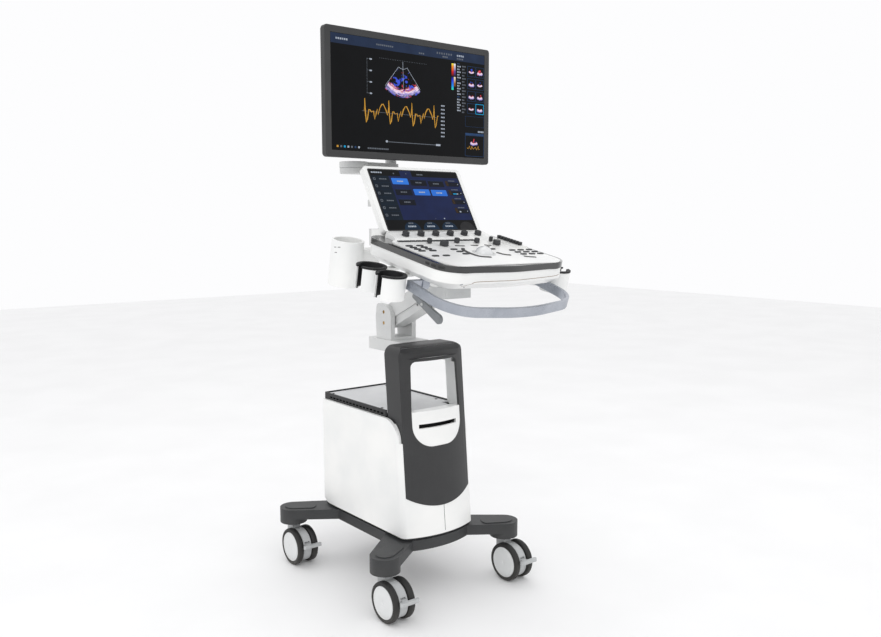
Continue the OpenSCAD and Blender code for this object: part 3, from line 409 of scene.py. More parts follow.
# a thin raised band that follows a surface below a row of points
def surfaceBand(bm, node, starts, direction, width, proud, index=0):
    hits = [touchDown(node, start, direction) for start in starts]
    hits = [hit for hit in hits if hit[0] is not None]
    ring = []
    for i, (place, normal) in enumerate(hits):
        along = (hits[min(i + 1, len(hits) - 1)][0] - hits[max(i - 1, 0)][0]).normalized()
        out = normal if normal.dot(Vector(direction)) < 0 else -normal
        side = along.cross(out).normalized() * width * mm / 2
        lift = out * proud * mm
        corners = (place + side + lift, place - side + lift, place - side - lift, place + side - lift)
        ring.append([bm.verts.new(corner) for corner in corners])
    faces = bandFaces(bm, zip(ring, ring[1:])) + [bm.faces.new(ring[0][::-1]), bm.faces.new(ring[-1])]
    for face in faces:
        face.material_index = index


# carried-over CAD nodes: width of the soft edge in millimetres
softEdges = {
    "base_platform": 2.5, "side_cover_left": 1.6, "side_cover_right": 1.6, "rear_panel": 0.8,
    "column_cover": 1.6, "column_frame": 1.5, "printer_bezel": 1.2, "printer_unit": 0.8, "top_tray": 0.8,
    "tray_rim": 0.5,
    "lift_yoke": 2.0, "lift_arm_upper": 1.4, "lift_arm_lower": 1.2, "lift_head": 1.6, "release_lever": 1.8,
    "console_shell": 1.6, "console_band": 1.2, "console_deck": 0.6, "handle": 1.6, "touch_frame": 1.6,
    "touch_glass": 0.4, "probe_holders": 1.0, "holder_liners": 0.9, "gel_warmer": 1.4, "monitor_neck": 1.8,
    "monitor_arm_lower": 1.4, "monitor_arm_upper": 1.4, "monitor_bracket": 1.2, "monitor_back": 1.4,
    "monitor_bezel": 1.6, "monitor_screen": 0.3, "deck_keys": 0.5, "tgc_sliders": 0.5, "power_inlet": 0.4,
    "probe_sockets": 0.5, "lift_pins": 0.8,
}
for side in ("fl", "fr", "rl", "rr"):
    softEdges["caster_fork_" + side] = 1.0
    softEdges["caster_pedal_" + side] = 1.0
skin = {"weld": 0.01, "flat": 1.0, "fold": 30, "segments": 3, "evenness": 80,
        "ownFlat": {"column_cover": 0.2}, "ownFinish": {"release_lever": "lever_grey"}}


# copy of a CAD node with moulded edges; faces that lie flat together are joined first
def softSkin(node):
    bm = bmesh.new()
    bm.from_mesh(frame["nodes"][node].data)
    bmesh.ops.remove_doubles(bm, verts=bm.verts, dist=skin["weld"] * mm)
    flat = math.radians(skin["ownFlat"].get(node, skin["flat"]))
    bmesh.ops.dissolve_limit(bm, angle_limit=flat, verts=bm.verts, edges=bm.edges)
    mesh = bpy.data.meshes.new(node + "Skin")
    bm.to_mesh(mesh)
    bm.free()
    obj = bpy.data.objects.new(node + "Skin", mesh)
    bpy.context.collection.objects.link(obj)
    mesh.shade_smooth()
    mesh.materials.append(finishes[skin["ownFinish"].get(node, slotOf[node])])
    roundEdges(obj, softEdges[node], skin["segments"], skin["fold"], False)
    mesh.set_sharp_from_angle(angle=math.radians(skin["fold"]))
    evenNormals = obj.modifiers.new("evenNormals", "WEIGHTED_NORMAL")
    evenNormals.keep_sharp = True
    evenNormals.weight = skin["evenness"]
    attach(obj, bodyOf[node])
    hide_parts(node)


for node, cadObject in frame["nodes"].items():
    if node in softEdges:
        softSkin(node)
    else:
        cadObject.data.materials.clear()
        cadObject.data.materials.append(finishes[slotOf[node]])
print("skins made:", len(softEdges))

# casters
caster = {"halfGap": 15, "steps": 96}
tyreProfile = [(43.5, 1), (51, 0.4), (53.6, 1.6), (55, 4.6), (55, 14.4), (53.6, 17.4), (51, 18.6), (46, 19),
               (44.6, 18), (43.5, 16)]
discProfile = [(0, 16.4), (5, 16.4), (6, 17), (7, 17.8), (28, 18.6), (37, 18.2), (38.4, 17.2), (39.8, 17.2),
               (40.6, 18.2), (43, 18.2), (43.6, 17.4), (43.6, 2), (36, 2), (33, 4.5),
               (12, 4.5), (9, 1), (0, 1)]
# painted nylon of the wheel discs: pale satin
discPaint = moulded("paintedNylonDisc", {
    "colour": "#dedfdf", "shade": "#d9dbdb", "dust": "#b4b1aa", "dustTop": 0.03, "mottleMm": 70,
    "grainMm": 1.4, "depthMm": 0.08, "roughness": (0.32, 0.48)})
for side in ("fl", "fr", "rl", "rr"):
    axle = Vector(jointOf["wheel_roll_" + side]["pos_m"])
    body = bodyOf["caster_wheels_" + side]
    treads, discs = bmesh.new(), bmesh.new()
    for way in (-1, 1):
        place = facing(axle + Vector((way * caster["halfGap"] * mm, 0, 0)), (way, 0, 0))
        lathe(treads, tyreProfile, place, caster["steps"])
        lathe(discs, discProfile, place, caster["steps"])
    tread = finishPiece(treads, "tyres_" + side, body, "tyre", sharp=45)
    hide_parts("caster_wheels_" + side)
    finishPiece(discs, "wheelDiscs_" + side, body, discPaint, sharp=30)
print("casters made")

# base: raised caps on the leg ends
legCap = {"halfWidth": 27, "outerAt": -4, "outerReach": 30, "innerAt": -58, "innerReach": 12,
          "innerHalfWidth": 24, "sunk": 1, "rise": 2.6, "edge": 1.6, "top": 167}
legRoot = {"x": 60, "yShare": 0.62, "yShift": 30}      # the point that each leg runs out from
bm = bmesh.new()
for side in ("fl", "fr", "rl", "rr"):
    stem = Vector(jointOf["caster_swivel_" + side]["pos_m"]) / mm
    rootX = math.copysign(legRoot["x"], stem.x)
    rootY = stem.y * legRoot["yShare"] + legRoot["yShift"]
    turn = math.atan2(stem.y - rootY, stem.x - rootX)
    outline = arc(legCap["outerAt"], 0, legCap["outerReach"], legCap["halfWidth"], -90, 90, 16)
    outline += arc(legCap["innerAt"], 0, legCap["innerReach"], legCap["innerHalfWidth"], 90, 270, 8)
    place = Matrix.Translation((stem.x * mm, stem.y * mm, 0)) @ Matrix.Rotation(turn, 4, "Z")
    prism(bm, outline, legCap["top"] - legCap["sunk"], legCap["top"] + legCap["rise"], place)
finishPiece(bm, "legCaps", "cart", "base_grey", edge=legCap["edge"])

# the control deck's own frame: x across, y away from the user, z out of the deck
deckFrame = {"y": -62.2454, "z": 984, "tilt": 11.66, "top": 18}
deckPlace = Matrix.Translation((0, deckFrame["y"] * mm, deckFrame["z"] * mm)) @ Matrix.Rotation(
    math.radians(deckFrame["tilt"]), 4, "X")
deckTurn = deckPlace.to_3x3()


def onDeck(x, y, z):
    return deckPlace @ (Vector((x, y, z)) * mm)


# fluted knobs under the touch panel, each on its own joint
knob = {"height": 11, "steps": 108, "flutes": 18, "fluteDepth": 0.7, "flutedRows": (4, 5, 6),
        "stemRadius": 2.9, "stemLow": -9, "stemTop": 0.2, "stemSteps": 24,
        "pointer": {"y": 4.4, "width": 1.3, "length": 3.2, "corner": 0.5, "low": 9.0, "high": 9.5}}
knobProfile = [(0, 0), (9.4, 0), (10, 0.6), (10, 1.6), (9.7, 2.2), (9.6, 5), (9.5, 8.6), (9.2, 10.2),
               (8.4, 11), (7.4, 11), (6.8, 10.6), (6.3, 9.4), (0, 9.1)]


# plain stem under a knob, from low up to just inside the knob
def knobStem(bm, place, low):
    radius, top = knob["stemRadius"], knob["stemTop"]
    lathe(bm, [(0, low), (radius, low), (radius, top), (0, top)], place, knob["stemSteps"])


for i in range(1, 7):
    joint = jointOf["knob_turn_%d" % i]
    axis = Vector(joint["axis"]).normalized()
    start = Vector(joint["pos_m"])
    top = max((v.co - start).dot(axis) for v in frame["nodes"]["knob_%d" % i].data.vertices)
    place = facing(start + axis * (top - knob["height"] * mm), axis)
    bm = bmesh.new()
    lathe(bm, knobProfile, place, knob["steps"], knob["flutes"], knob["fluteDepth"], knob["flutedRows"])
    knobStem(bm, place, knob["stemLow"])
    mark = knob["pointer"]
    outline = roundedBox(0, mark["y"], mark["width"], mark["length"], mark["corner"], 3)
    prism(bm, outline, mark["low"], mark["high"], place, 1)
    piece = finishPiece(bm, "flutedKnob_%d" % i, bodyOf["knob_%d" % i], "knob_grey", sharp=35,
                        extra=(finishes["white_cover"],))
    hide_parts("knob_%d" % i)

# push knobs on the deck: x, y and radius of each
pushKnobs = {"places": [(-87, -80, 7), (-63, -112, 12), (4, -82, 8), (70, -87, 8), (118, -114, 11),
                        (132, -74, 6)],
             "foot": 20, "stemLow": -10, "steps": 96, "fewestFlutes": 12, "flutesPerMm": 1.6,
             "fluteDepth": 0.55, "flutedRows": (4, 5)}
bm = bmesh.new()
for x, y, radius in pushKnobs["places"]:
    place = Matrix.Translation(onDeck(x, y, pushKnobs["foot"])) @ deckTurn.to_4x4()
    profile = [(0, 0), (radius - 0.6, 0), (radius, 0.6), (radius, 2), (radius - 0.4, 2.6),
               (radius - 0.5, 9.6), (radius - 1.2, 11.4), (radius - 2.2, 12), (radius - 2.8, 12),
               (radius - 3.4, 11.4), (0, 11.1)]
    flutes = max(pushKnobs["fewestFlutes"], int(radius * pushKnobs["flutesPerMm"]))
    lathe(bm, profile, place, pushKnobs["steps"], flutes, pushKnobs["fluteDepth"], pushKnobs["flutedRows"])
    knobStem(bm, place, pushKnobs["stemLow"])
piece = finishPiece(bm, "flutedPushKnobs", bodyOf["deck_knobs"], "knob_grey", sharp=35)
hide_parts("deck_knobs")
print("knobs made")

# dark bars and arcs round the trackball, as low raised keys: points and width of each
deckMarks = {"sunk": 0.6, "rise": 1.3, "edge": 0.5, "endShare": 0.55, "bars": [
    ([(-24, -143), (-37, -160), (-43, -186), (-44, -212), (-38, -230), (-12, -241)], 10),
    ([(46, -196), (50, -214), (58, -224), (68, -226)], 9),
    ([(99, -242), (112, -251), (130, -257)], 7),
    ([(77, -111), (86, -119), (94, -121)], 6),
    ([(-26, -112), (-12, -117), (2, -118)], 6),
    ([(28, -112), (40, -116), (50, -116)], 6)]}


# a smooth curve (Catmull-Rom) through the points
def smoothPath(points, steps=6):
    ends = [points[0]] + list(points) + [points[-1]]
    path = []
    for a, b, c, d in zip(ends, ends[1:], ends[2:], ends[3:]):
        for i in range(steps):
            t = i / steps
            path.append(tuple(0.5 * (2 * q + (r - p) * t + (2 * p - 5 * q + 4 * r - s) * t * t
                                     + (3 * q - p - 3 * r + s) * t ** 3) for p, q, r, s in zip(a, b, c, d)))
    return path + [points[-1]]


low, high = deckFrame["top"] - deckMarks["sunk"], deckFrame["top"] + deckMarks["rise"]
bm = bmesh.new()
for points, width in deckMarks["bars"]:
    path = smoothPath(points)
    widths = [width] * len(path)
    widths[0] = widths[-1] = width * deckMarks["endShare"]
    strip(bm, path, widths, low, high, deckPlace)
finishPiece(bm, "deckArcs", "console", "black_plastic", edge=deckMarks["edge"])

# ring round the ball
ballRing = {"x": 2, "y": -196, "steps": 96, "profile": [
    (25.6, -0.4), (31, -0.4), (31, 0.7), (30.3, 1.2), (28, 1.5), (26.2, 1.3), (25.6, 0.7)]}
bm = bmesh.new()
ballPlace = Matrix.Translation(onDeck(ballRing["x"], ballRing["y"], deckFrame["top"])) @ deckTurn.to_4x4()
lathe(bm, ballRing["profile"], ballPlace, ballRing["steps"])
finishPiece(bm, "ballRing", "console", "light_grey")

# the shell's trim line and screws (x, z), and the band's sockets (y), all in the deck's frame
consoleTrim = {"ahead": -520, "beside": -300, "lineWidth": 1.2, "lineProud": 0.22,
               "line": [(-146, -38), (-138, -33), (-127, -26), (-118, -23), (-100, -22), (-50, -21.5),
                        (20, -21), (90, -20.5), (150, -19.5), (176, -17)],
               "ports": (-236, -258, -280), "portZ": 8, "rim": {"step": 2, "width": 7.0, "proud": 0.25},
               "mouth": {"step": 1.5, "width": 3.4, "proud": 0.45},
               "screws": [((-156, -29), 4.2), ((-134, -40), 2.6)], "screwSteps": 32}
# bronzed metal line in the joint between the two mouldings: a thin warm glint
bronze = moulded("bronzedTrimLine", {
    "colour": "#8f745c", "shade": "#7a614b", "metallic": 0.5, "mottleMm": 20, "grainMm": 1, "depthMm": 0.02,
    "roughness": (0.3, 0.45)})
bm = bmesh.new()
starts = [onDeck(x, consoleTrim["ahead"], z) for x, z in smoothPath(consoleTrim["line"], 5)]
inward, rightward = deckTurn @ Vector((0, 1, 0)), deckTurn @ Vector((1, 0, 0))
surfaceBand(bm, "console_shell", starts, inward, consoleTrim["lineWidth"], consoleTrim["lineProud"])
finishPiece(bm, "shellTrimLine", "console", bronze)
bm = bmesh.new()
for index, part in enumerate((consoleTrim["rim"], consoleTrim["mouth"])):
    for y in consoleTrim["ports"]:
        places = [y + k * part["step"] for k in range(-4, 5)]
        starts = [onDeck(consoleTrim["beside"], place, consoleTrim["portZ"]) for place in places]
        surfaceBand(bm, "console_band", starts, rightward, part["width"], part["proud"], index)
finishPiece(bm, "bandPorts", "console", "charcoal_cover", extra=(finishes["black_plastic"],))
bm = bmesh.new()
for (x, z), radius in consoleTrim["screws"]:
    place, normal = touchDown("console_shell", onDeck(x, consoleTrim["ahead"], z), inward)
    outward = normal if normal.y < 0 else -normal
    lathe(bm, [(0, -0.5), (radius, -0.5), (radius, 0.25), (radius * 0.86, 0.45), (radius * 0.55, 0.45),
               (radius * 0.5, 0.1), (0, 0.1)], facing(place, outward), consoleTrim["screwSteps"])
finishPiece(bm, "shellScrews", "console", "module_metal")
print("console trim made")

# front parting line of the covers, and the tray's studs
bodyTrim = {"seamX": 0.4, "seamLow": 182, "seamHigh": 262, "seamStep": 6, "seamWidth": 1.5, "seamProud": 0.12,
            "ahead": -500, "studRadius": 4.5, "studSteps": 32,
            "studs": ((-100, 318), (100, 318), (-98, 60), (98, 60))}
bm = bmesh.new()
starts = [Vector((bodyTrim["seamX"], bodyTrim["ahead"], z)) * mm
          for z in range(bodyTrim["seamLow"], bodyTrim["seamHigh"], bodyTrim["seamStep"])]
surfaceBand(bm, "side_cover_right", starts, (0, 1, 0), bodyTrim["seamWidth"], bodyTrim["seamProud"])
finishPiece(bm, "coverPartingLine", "cart", "base_grey")
bm = bmesh.new()
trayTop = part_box("top_tray")[1].z
radius = bodyTrim["studRadius"]
studProfile = [(0, -0.4), (radius, -0.4), (radius, 0.5), (radius - 0.8, 1.1), (1.6, 1.1), (1.2, 0.5),
               (0, 0.5)]
for x, y in bodyTrim["studs"]:
    lathe(bm, studProfile, Matrix.Translation((x * mm, y * mm, trayTop)), bodyTrim["studSteps"])
finishPiece(bm, "trayStuds", "cart", "black_plastic")

# three short marks on the bottle warmer: turn from its front left, and share of its height
warmer = {"x": -234, "yIn": 55, "facing": 225, "marks": ((-24, 0.80), (-8, 0.80), (-22, 0.70)), "away": 200,
          "width": 1.6, "proud": 0.12}
warmLow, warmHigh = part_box("gel_warmer")
bm = bmesh.new()
for turn, share in warmer["marks"]:
    a = math.radians(warmer["facing"] + turn)
    away = Vector((math.cos(a), math.sin(a), 0))
    across = Vector((-away.y, away.x, 0))
    height = warmLow.z + (warmHigh.z - warmLow.z) * share
    middle = Vector((warmer["x"] * mm, warmLow.y + warmer["yIn"] * mm, height)) + away * warmer["away"] * mm
    starts = [middle + across * k * mm for k in range(-4, 5)]
    surfaceBand(bm, "gel_warmer", starts, -away, warmer["width"], warmer["proud"])
finishPiece(bm, "warmerMarks", "console", "base_grey")
print("body trim made")

# pictures on the two displays
layer = 0.12      # each level of a picture lies this much above the one below, in millimetres
# heights in metres between which the colours run
rampHeights = {"buttons": (1.02, 1.17), "upperScale": (1.4535, 1.4885), "lowerScale": (1.4155, 1.452)}
light = {
    "black": lit("displayBlack", "#020304", "#040507", 30),
    "header": lit("displayHeader", "#22304a", "#1d2a42", 40),
    "blueLine": lit("displayBlueLine", "#28456e", "#223c60"),
    "navy": lit("displayNavy", "#13204a", "#101b40", 50),
    "menu": lit("displayMenu", "#07141f", "#0a1a28", 30),
    "bright": litRamp("displayBrightButton", *rampHeights["buttons"], [(0, "#1a4fae"), (1, "#2f78dc")]),
    "dark": lit("displayDarkButton", "#060a14", "#0a1020", 12),
    "white": lit("displayWhite", "#b9c1cc", "#8f98a6", 3),
    "cyan": lit("displayCyan", "#19a8dc", "#1290c4"),
    "dial": lit("displayDial", "#10283e", "#0c2033", 10),
    "dialGrey": lit("displayDialGrey", "#2b2b2d", "#242426", 10),
    "amber": lit("displayAmber", "#d9a441", "#b98730", 2),
    "amberDim": lit("displayAmberDim", "#5b3f16", "#2c1e09", 3),
    "brown": lit("displayBrown", "#3a2a18", "#241a10", 3),
    "grey": lit("displayGrey", "#6d737c", "#565b63", 3),
    "flowWarm": litRamp("flowScaleWarm", *rampHeights["upperScale"], [
        (0, "#3a0508"), (0.35, "#d01818"), (0.75, "#f08a1c"), (1, "#f4ee4a")]),
    "flowCold": litRamp("flowScaleCold", *rampHeights["lowerScale"], [
        (0, "#2fe0b0"), (0.3, "#1c8ae8"), (0.7, "#2038d8"), (1, "#0a0f40")]),
    "greyScale": litRamp("greyScale", *rampHeights["upperScale"], [
        (0, "#1a1030"), (0.4, "#6a4a9a"), (1, "#f2eef6")]),
    "tintScale": litRamp("tintScale", *rampHeights["lowerScale"], [
        (0, "#1c1006"), (0.5, "#9a5c20"), (1, "#f6e6cc")]),
}
lightNames = list(light)
echoLook = {"strength": 1.15, "cellsPerRadian": 5.0, "cellMm": 5.5, "vesselMm": 17, "waver": 0.42,
            "flowFrom": 1.25, "flowFull": 2.2}


# echoes in a fan below an apex (x, z): a bright speckled wall at the far end, flow colours nearer
def echoTissue(name, apex, near, far, wallStart, wallEnd):
    material, tree, shader, place = displayGlass(name, echoLook["strength"])
    waver = (far - near) * echoLook["waver"]
    offset = addNode(tree, "ShaderNodeVectorMath", {"operation": "SUBTRACT", 1: (apex[0], 0, apex[1])},
                     {0: place})
    split = addNode(tree, "ShaderNodeSeparateXYZ", {}, {0: offset.outputs[0]})
    flat = addNode(tree, "ShaderNodeCombineXYZ", {}, {"X": split.outputs[0], "Z": split.outputs[2]})
    measure = addNode(tree, "ShaderNodeVectorMath", {"operation": "LENGTH"}, {0: flat.outputs[0]})
    away = measure.outputs["Value"]
    angle = addNode(tree, "ShaderNodeMath", {"operation": "ARCTAN2"},
                    {0: split.outputs[0], 1: split.outputs[2]})
    polar = addNode(tree, "ShaderNodeCombineXYZ", {}, {"X": angle.outputs[0], "Y": away})
    cellScale = (echoLook["cellsPerRadian"], 1 / (echoLook["cellMm"] * mm), 1)
    cells = addNode(tree, "ShaderNodeMapping", {"Scale": cellScale}, {"Vector": polar.outputs[0]})
    blobs = addNode(tree, "ShaderNodeTexNoise", {"Scale": 1.0, "Detail": 3.0, "Distortion": 0.6},
                    {"Vector": cells.outputs[0]})
    drift = addNode(tree, "ShaderNodeMath", {"operation": "MULTIPLY_ADD", 1: waver, 2: -waver / 2},
                    {0: blobs.outputs[0]})
    bent = addNode(tree, "ShaderNodeMath", {"operation": "ADD"}, {0: away, 1: drift.outputs[0]})
    depth = addNode(tree, "ShaderNodeMapRange", {"From Min": near, "From Max": far},
                    {"Value": bent.outputs[0]})
    wall = addNode(tree, "ShaderNodeValToRGB", {}, {0: depth.outputs[0]}, [
        (0.0, "#000000"), (wallStart, "#000000"), (wallStart + 0.07, "#b05a70"),
        (wallStart + 0.14, "#f0d9e2"), (wallEnd - 0.08, "#8f86c8"), (wallEnd, "#000000")])
    vessel = addNode(tree, "ShaderNodeTexNoise", {
        "Scale": 1 / (echoLook["vesselMm"] * mm), "Detail": 2.5, "Distortion": 1.2}, {"Vector": place})
    flow = addNode(tree, "ShaderNodeValToRGB", {}, {0: vessel.outputs[0]}, [
        (0.0, "#2b48e0"), (0.36, "#3a50c8"), (0.40, "#000000"), (0.60, "#000000"), (0.64, "#c03048"),
        (0.74, "#e04a50")])
    middle = addNode(tree, "ShaderNodeMapRange", {
        "From Min": near * echoLook["flowFrom"], "From Max": near * echoLook["flowFull"]}, {"Value": away})
    shown = addNode(tree, "ShaderNodeMix", {"data_type": "RGBA", "blend_type": "MULTIPLY", 0: 1.0},
                    {6: flow.outputs[0], 7: middle.outputs[0]})
    both = addNode(tree, "ShaderNodeMix", {"data_type": "RGBA", "blend_type": "LIGHTEN", 0: 1.0},
                   {6: wall.outputs[0], 7: shown.outputs[2]})
    tree.links.new(both.outputs[2], shader.inputs["Emission Color"])
    return material


# outline of an ultrasound fan that opens downwards
def fan(apexX, apexY, near, far, half, steps=20):
    return (arc(apexX, apexY, far, far, -90 - half, -90 + half, steps)
            + arc(apexX, apexY, near, near, -90 + half, -90 - half, steps))


# a point given in shares of the display from its top left corner, as millimetres from its middle
def onDisplay(display, u, v):
    return (u - 0.5) * display["size"][0], (0.5 - v) * display["size"][1]


def area(display, name, level, left, right, top, bottom, radius=0.0):
    cx, cy = onDisplay(display, (left + right) / 2, (top + bottom) / 2)
    width, height = (right - left) * display["size"][0], (bottom - top) * display["size"][1]
    outline = roundedBox(cx, cy, width, height, radius, 3 if radius else 0)
    prism(display["mesh"], outline, 0, level * layer, display["place"], lightNames.index(name))


# a row of short dashes, which stands for a caption
def caption(display, name, level, left, top, count, each, gap, high):
    for i in range(count):
        start = left + i * (each + gap)
        area(display, name, level, start, start + each, top, top + high)


def rectangle(display, name, level, thick, left, right, top, bottom):
    corners = ((left, top), (right, top), (right, bottom), (left, bottom))
    points = [onDisplay(display, u, v) for u, v in corners]
    for a, b in zip(points, points[1:] + points[:1]):
        line(display, name, level, [a, b], thick)


def line(display, name, level, points, thick, loop=False):
    strip(display["mesh"], points, thick, 0, level * layer, display["place"], lightNames.index(name), loop)


# a group of areas and captions, shifted right by u and down by v
def group(display, parts, u=0.0, v=0.0):
    for name, level, left, right, top, bottom, *radius in parts.get("areas", ()):
        area(display, name, level, left + u, right + u, top + v, bottom + v, *radius)
    for name, level, left, top, *dashes in parts.get("captions", ()):
        caption(display, name, level, left + u, top + v, *dashes)


def draw(display, layout):
    group(display, layout)
    for count, right, down, parts in layout["repeated"]:
        for i in range(count):
            group(display, parts, i * right, i * down)


def finishDisplay(display, name, body):
    finishPiece(display["mesh"], name, body, light["black"],
                extra=[light[each] for each in lightNames[1:]])


# layouts are in shares of the width and height, from the top left corner
# areas: colour, level, left, right, top, bottom, corner radius in millimetres
# captions: colour, level, left, top, number of dashes, width of each, gap, height
# repeated: how many, step right, step down, what
low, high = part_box("monitor_screen")
monitorLayout = {
    "areas": [
        ("black", 1, 0.001, 0.999, 0.001, 0.999), ("header", 2, 0.001, 0.999, 0.001, 0.086),
        ("grey", 3, 0.33, 0.675, 0.897, 0.903), ("white", 4, 0.325, 0.337, 0.888, 0.906),
        ("white", 4, 0.655, 0.685, 0.890, 0.908), ("flowWarm", 3, 0.763, 0.777, 0.116, 0.234),
        ("greyScale", 3, 0.779, 0.791, 0.116, 0.234), ("flowCold", 3, 0.763, 0.777, 0.241, 0.364),
        ("tintScale", 3, 0.779, 0.791, 0.241, 0.330), ("blueLine", 3, 0.862, 0.998, 0.762, 0.782)],
    "captions": [
        ("white", 3, 0.03, 0.036, 6, 0.008, 0.004, 0.016), ("grey", 3, 0.27, 0.04, 9, 0.008, 0.004, 0.014),
        ("grey", 3, 0.66, 0.03, 7, 0.008, 0.008, 0.018), ("white", 3, 0.80, 0.03, 4, 0.009, 0.004, 0.016),
        ("grey", 3, 0.54, 0.06, 3, 0.009, 0.004, 0.014), ("grey", 3, 0.70, 0.06, 3, 0.009, 0.004, 0.014),
        ("grey", 3, 0.80, 0.06, 4, 0.008, 0.004, 0.014), ("white", 3, 0.955, 0.735, 4, 0.008, 0.003, 0.016),
        ("grey", 3, 0.212, 0.962, 12, 0.008, 0.003, 0.013)],
    "repeated": [
        (25, 0, 0.0125, {"areas": [("grey", 3, 0.210, 0.214, 0.179, 0.183)]}),
        (4, 0, 0.1, {"areas": [("grey", 3, 0.214, 0.222, 0.179, 0.183),
                               ("white", 3, 0.228, 0.242, 0.176, 0.188)]}),
        (28, 0.011, 0, {"areas": [("grey", 3, 0.29, 0.292, 0.158, 0.164)]}),
        (9, 0, 0.036, {"captions": [("white", 3, 0.69, 0.52, 3, 0.006, 0.003, 0.013)]}),
        (9, 0, 0.052, {"captions": [("white", 3, 0.803, 0.131, 3, 0.006, 0.003, 0.013)]}),
        (3, 0, 0.156, {"captions": [("blueLine", 3, 0.803, 0.105, 2, 0.006, 0.003, 0.013),
                                    ("white", 3, 0.803, 0.157, 2, 0.006, 0.003, 0.013),
                                    ("white", 3, 0.803, 0.209, 2, 0.006, 0.003, 0.013)]}),
        (8, 0, 0.058, {"captions": [("grey", 3, 0.838, 0.125, 3, 0.006, 0.003, 0.013),
                                    ("grey", 3, 0.838, 0.154, 2, 0.006, 0.003, 0.013)]})],
    "icons": {"colours": ("amber", "grey", "cyan", "white", "grey", "blueLine", "white"), "step": 0.021,
              "box": (0.028, 0.038, 0.958, 0.975)},
    "thumbs": {"left": 0.876, "top": 0.122, "right": 0.062, "down": 0.118, "width": 0.057, "height": 0.095,
               "half": 34, "near": 3, "far": 22, "shortFar": 18, "wall": (0.5, 0.98),
               "apexDown": 0.012, "apexUp": 2, "thick": 0.8, "chosenThick": 1.6},
    "panel": {"left": 0.925, "top": 0.795, "near": 4, "far": 27, "half": 36, "wall": (0.55, 0.98)},
    "frames": [("blueLine", 3, 0.5, 0.862, 0.998, 0.60, 0.70),
               ("blueLine", 3, 0.9, 0.862, 0.998, 0.785, 0.985)],
}
# the heart scan's fan in millimetres from the picture's middle, and its line of flow
heart = {"x": -34, "y": 100.2, "near": 21.6, "far": 91.7, "half": 40, "scanNear": 23, "scanFar": 98,
         "scanHalf": 38, "echoFar": 98.5, "centreLine": [(-34, 98), (-32, 28)], "wall": (0.66, 0.97)}
beat = {"left": -168, "start": -162, "step": 78, "baseline": -42, "end": 84, "thin": 1.4, "swell": 1.5,
        "swellRate": 0.37, "glow": 2.1, "tailPoints": 7, "tailThick": 2.0, "shape": [
    (0, 0), (2, 33), (4, -4), (7, -29), (10, -22), (15, 5), (19, 4), (23, -1), (30, 2), (34, -20), (39, -2),
    (42, 8), (45, -6), (51, 12), (57, 21), (62, 22), (67, 14), (72, 5), (76, -6)]}
monitorMiddle = Vector(((low.x + high.x) / 2, 0, (low.z + high.z) / 2))
monitorPlace = Matrix(((1, 0, 0, monitorMiddle.x), (0, 0, -1, low.y),
                       (0, 1, 0, monitorMiddle.z), (0, 0, 0, 1)))
screen = {"mesh": bmesh.new(), "size": ((high.x - low.x) / mm, (high.z - low.z) / mm),
          "place": monitorPlace}
draw(screen, monitorLayout)
for frameRow in monitorLayout["frames"]:
    rectangle(screen, *frameRow)
for i, name in enumerate(monitorLayout["icons"]["colours"]):
    left, right, top, bottom = monitorLayout["icons"]["box"]
    shift = i * monitorLayout["icons"]["step"]
    area(screen, name, 3, left + shift, right + shift, top, bottom)
thumb = monitorLayout["thumbs"]
thumbPlaces = []
for i in range(8):
    left, top = thumb["left"] + i % 2 * thumb["right"], thumb["top"] + i // 2 * thumb["down"]
    name, thick = ("cyan", thumb["chosenThick"]) if i == 7 else ("blueLine", thumb["thick"])
    rectangle(screen, name, 3, thick, left, left + thumb["width"], top, top + thumb["height"])
    x, y = onDisplay(screen, left + thumb["width"] / 2, top + thumb["apexDown"])
    thumbPlaces.append((x, y + thumb["apexUp"]))
heartOutline = fan(heart["x"], heart["y"], heart["near"], heart["far"], heart["half"])
line(screen, "white", 4, heartOutline, 0.9, loop=True)
line(screen, "white", 4, heart["centreLine"], 0.8)
line(screen, "grey", 3.5, [(beat["left"], beat["baseline"]), (beat["end"], beat["baseline"])], 0.8)
for k in range(3):
    wave = [(beat["start"] + k * beat["step"] + x, beat["baseline"] + y) for x, y in beat["shape"]]
    thick = [beat["thin"] + beat["swell"] * abs(math.sin(x * beat["swellRate"] + k))
             for x, _ in beat["shape"]]
    line(screen, "amberDim", 3, wave, [each * beat["glow"] for each in thick])
    line(screen, "amber", 5, wave, thick)
tailShape = beat["shape"][:beat["tailPoints"]]
tail = [(beat["start"] + 3 * beat["step"] + x, beat["baseline"] + y) for x, y in tailShape]
line(screen, "amber", 5, tail, beat["tailThick"])
# the small trace in the panel at the lower right: its swings are (height, rate)
trace = {"left": 0.875, "step": 0.0058, "points": 17, "middle": 0.905, "swings": ((0.014, 1.7), (0.008, 3.9)),
         "thick": 1.1}
smallWave = []
for i in range(trace["points"]):
    v = trace["middle"] + sum(height * math.sin(i * rate) for height, rate in trace["swings"])
    smallWave.append(onDisplay(screen, trace["left"] + i * trace["step"], v))
line(screen, "amber", 4, smallWave, trace["thick"])
finishDisplay(screen, "monitorPicture", "monitor")


# a fan of echoes on the monitor, its apex in millimetres from the picture's middle
def echoScan(name, look, x, y, near, far, half, steps, echoNear, echoFar, wall, level=3.2):
    apex = (monitorMiddle.x + x * mm, monitorMiddle.z + y * mm)
    bm = bmesh.new()
    prism(bm, fan(x, y, near, far, half, steps), 0, level * layer, monitorPlace)
    finishPiece(bm, name, "monitor", echoTissue(look, apex, echoNear * mm, echoFar * mm, *wall))


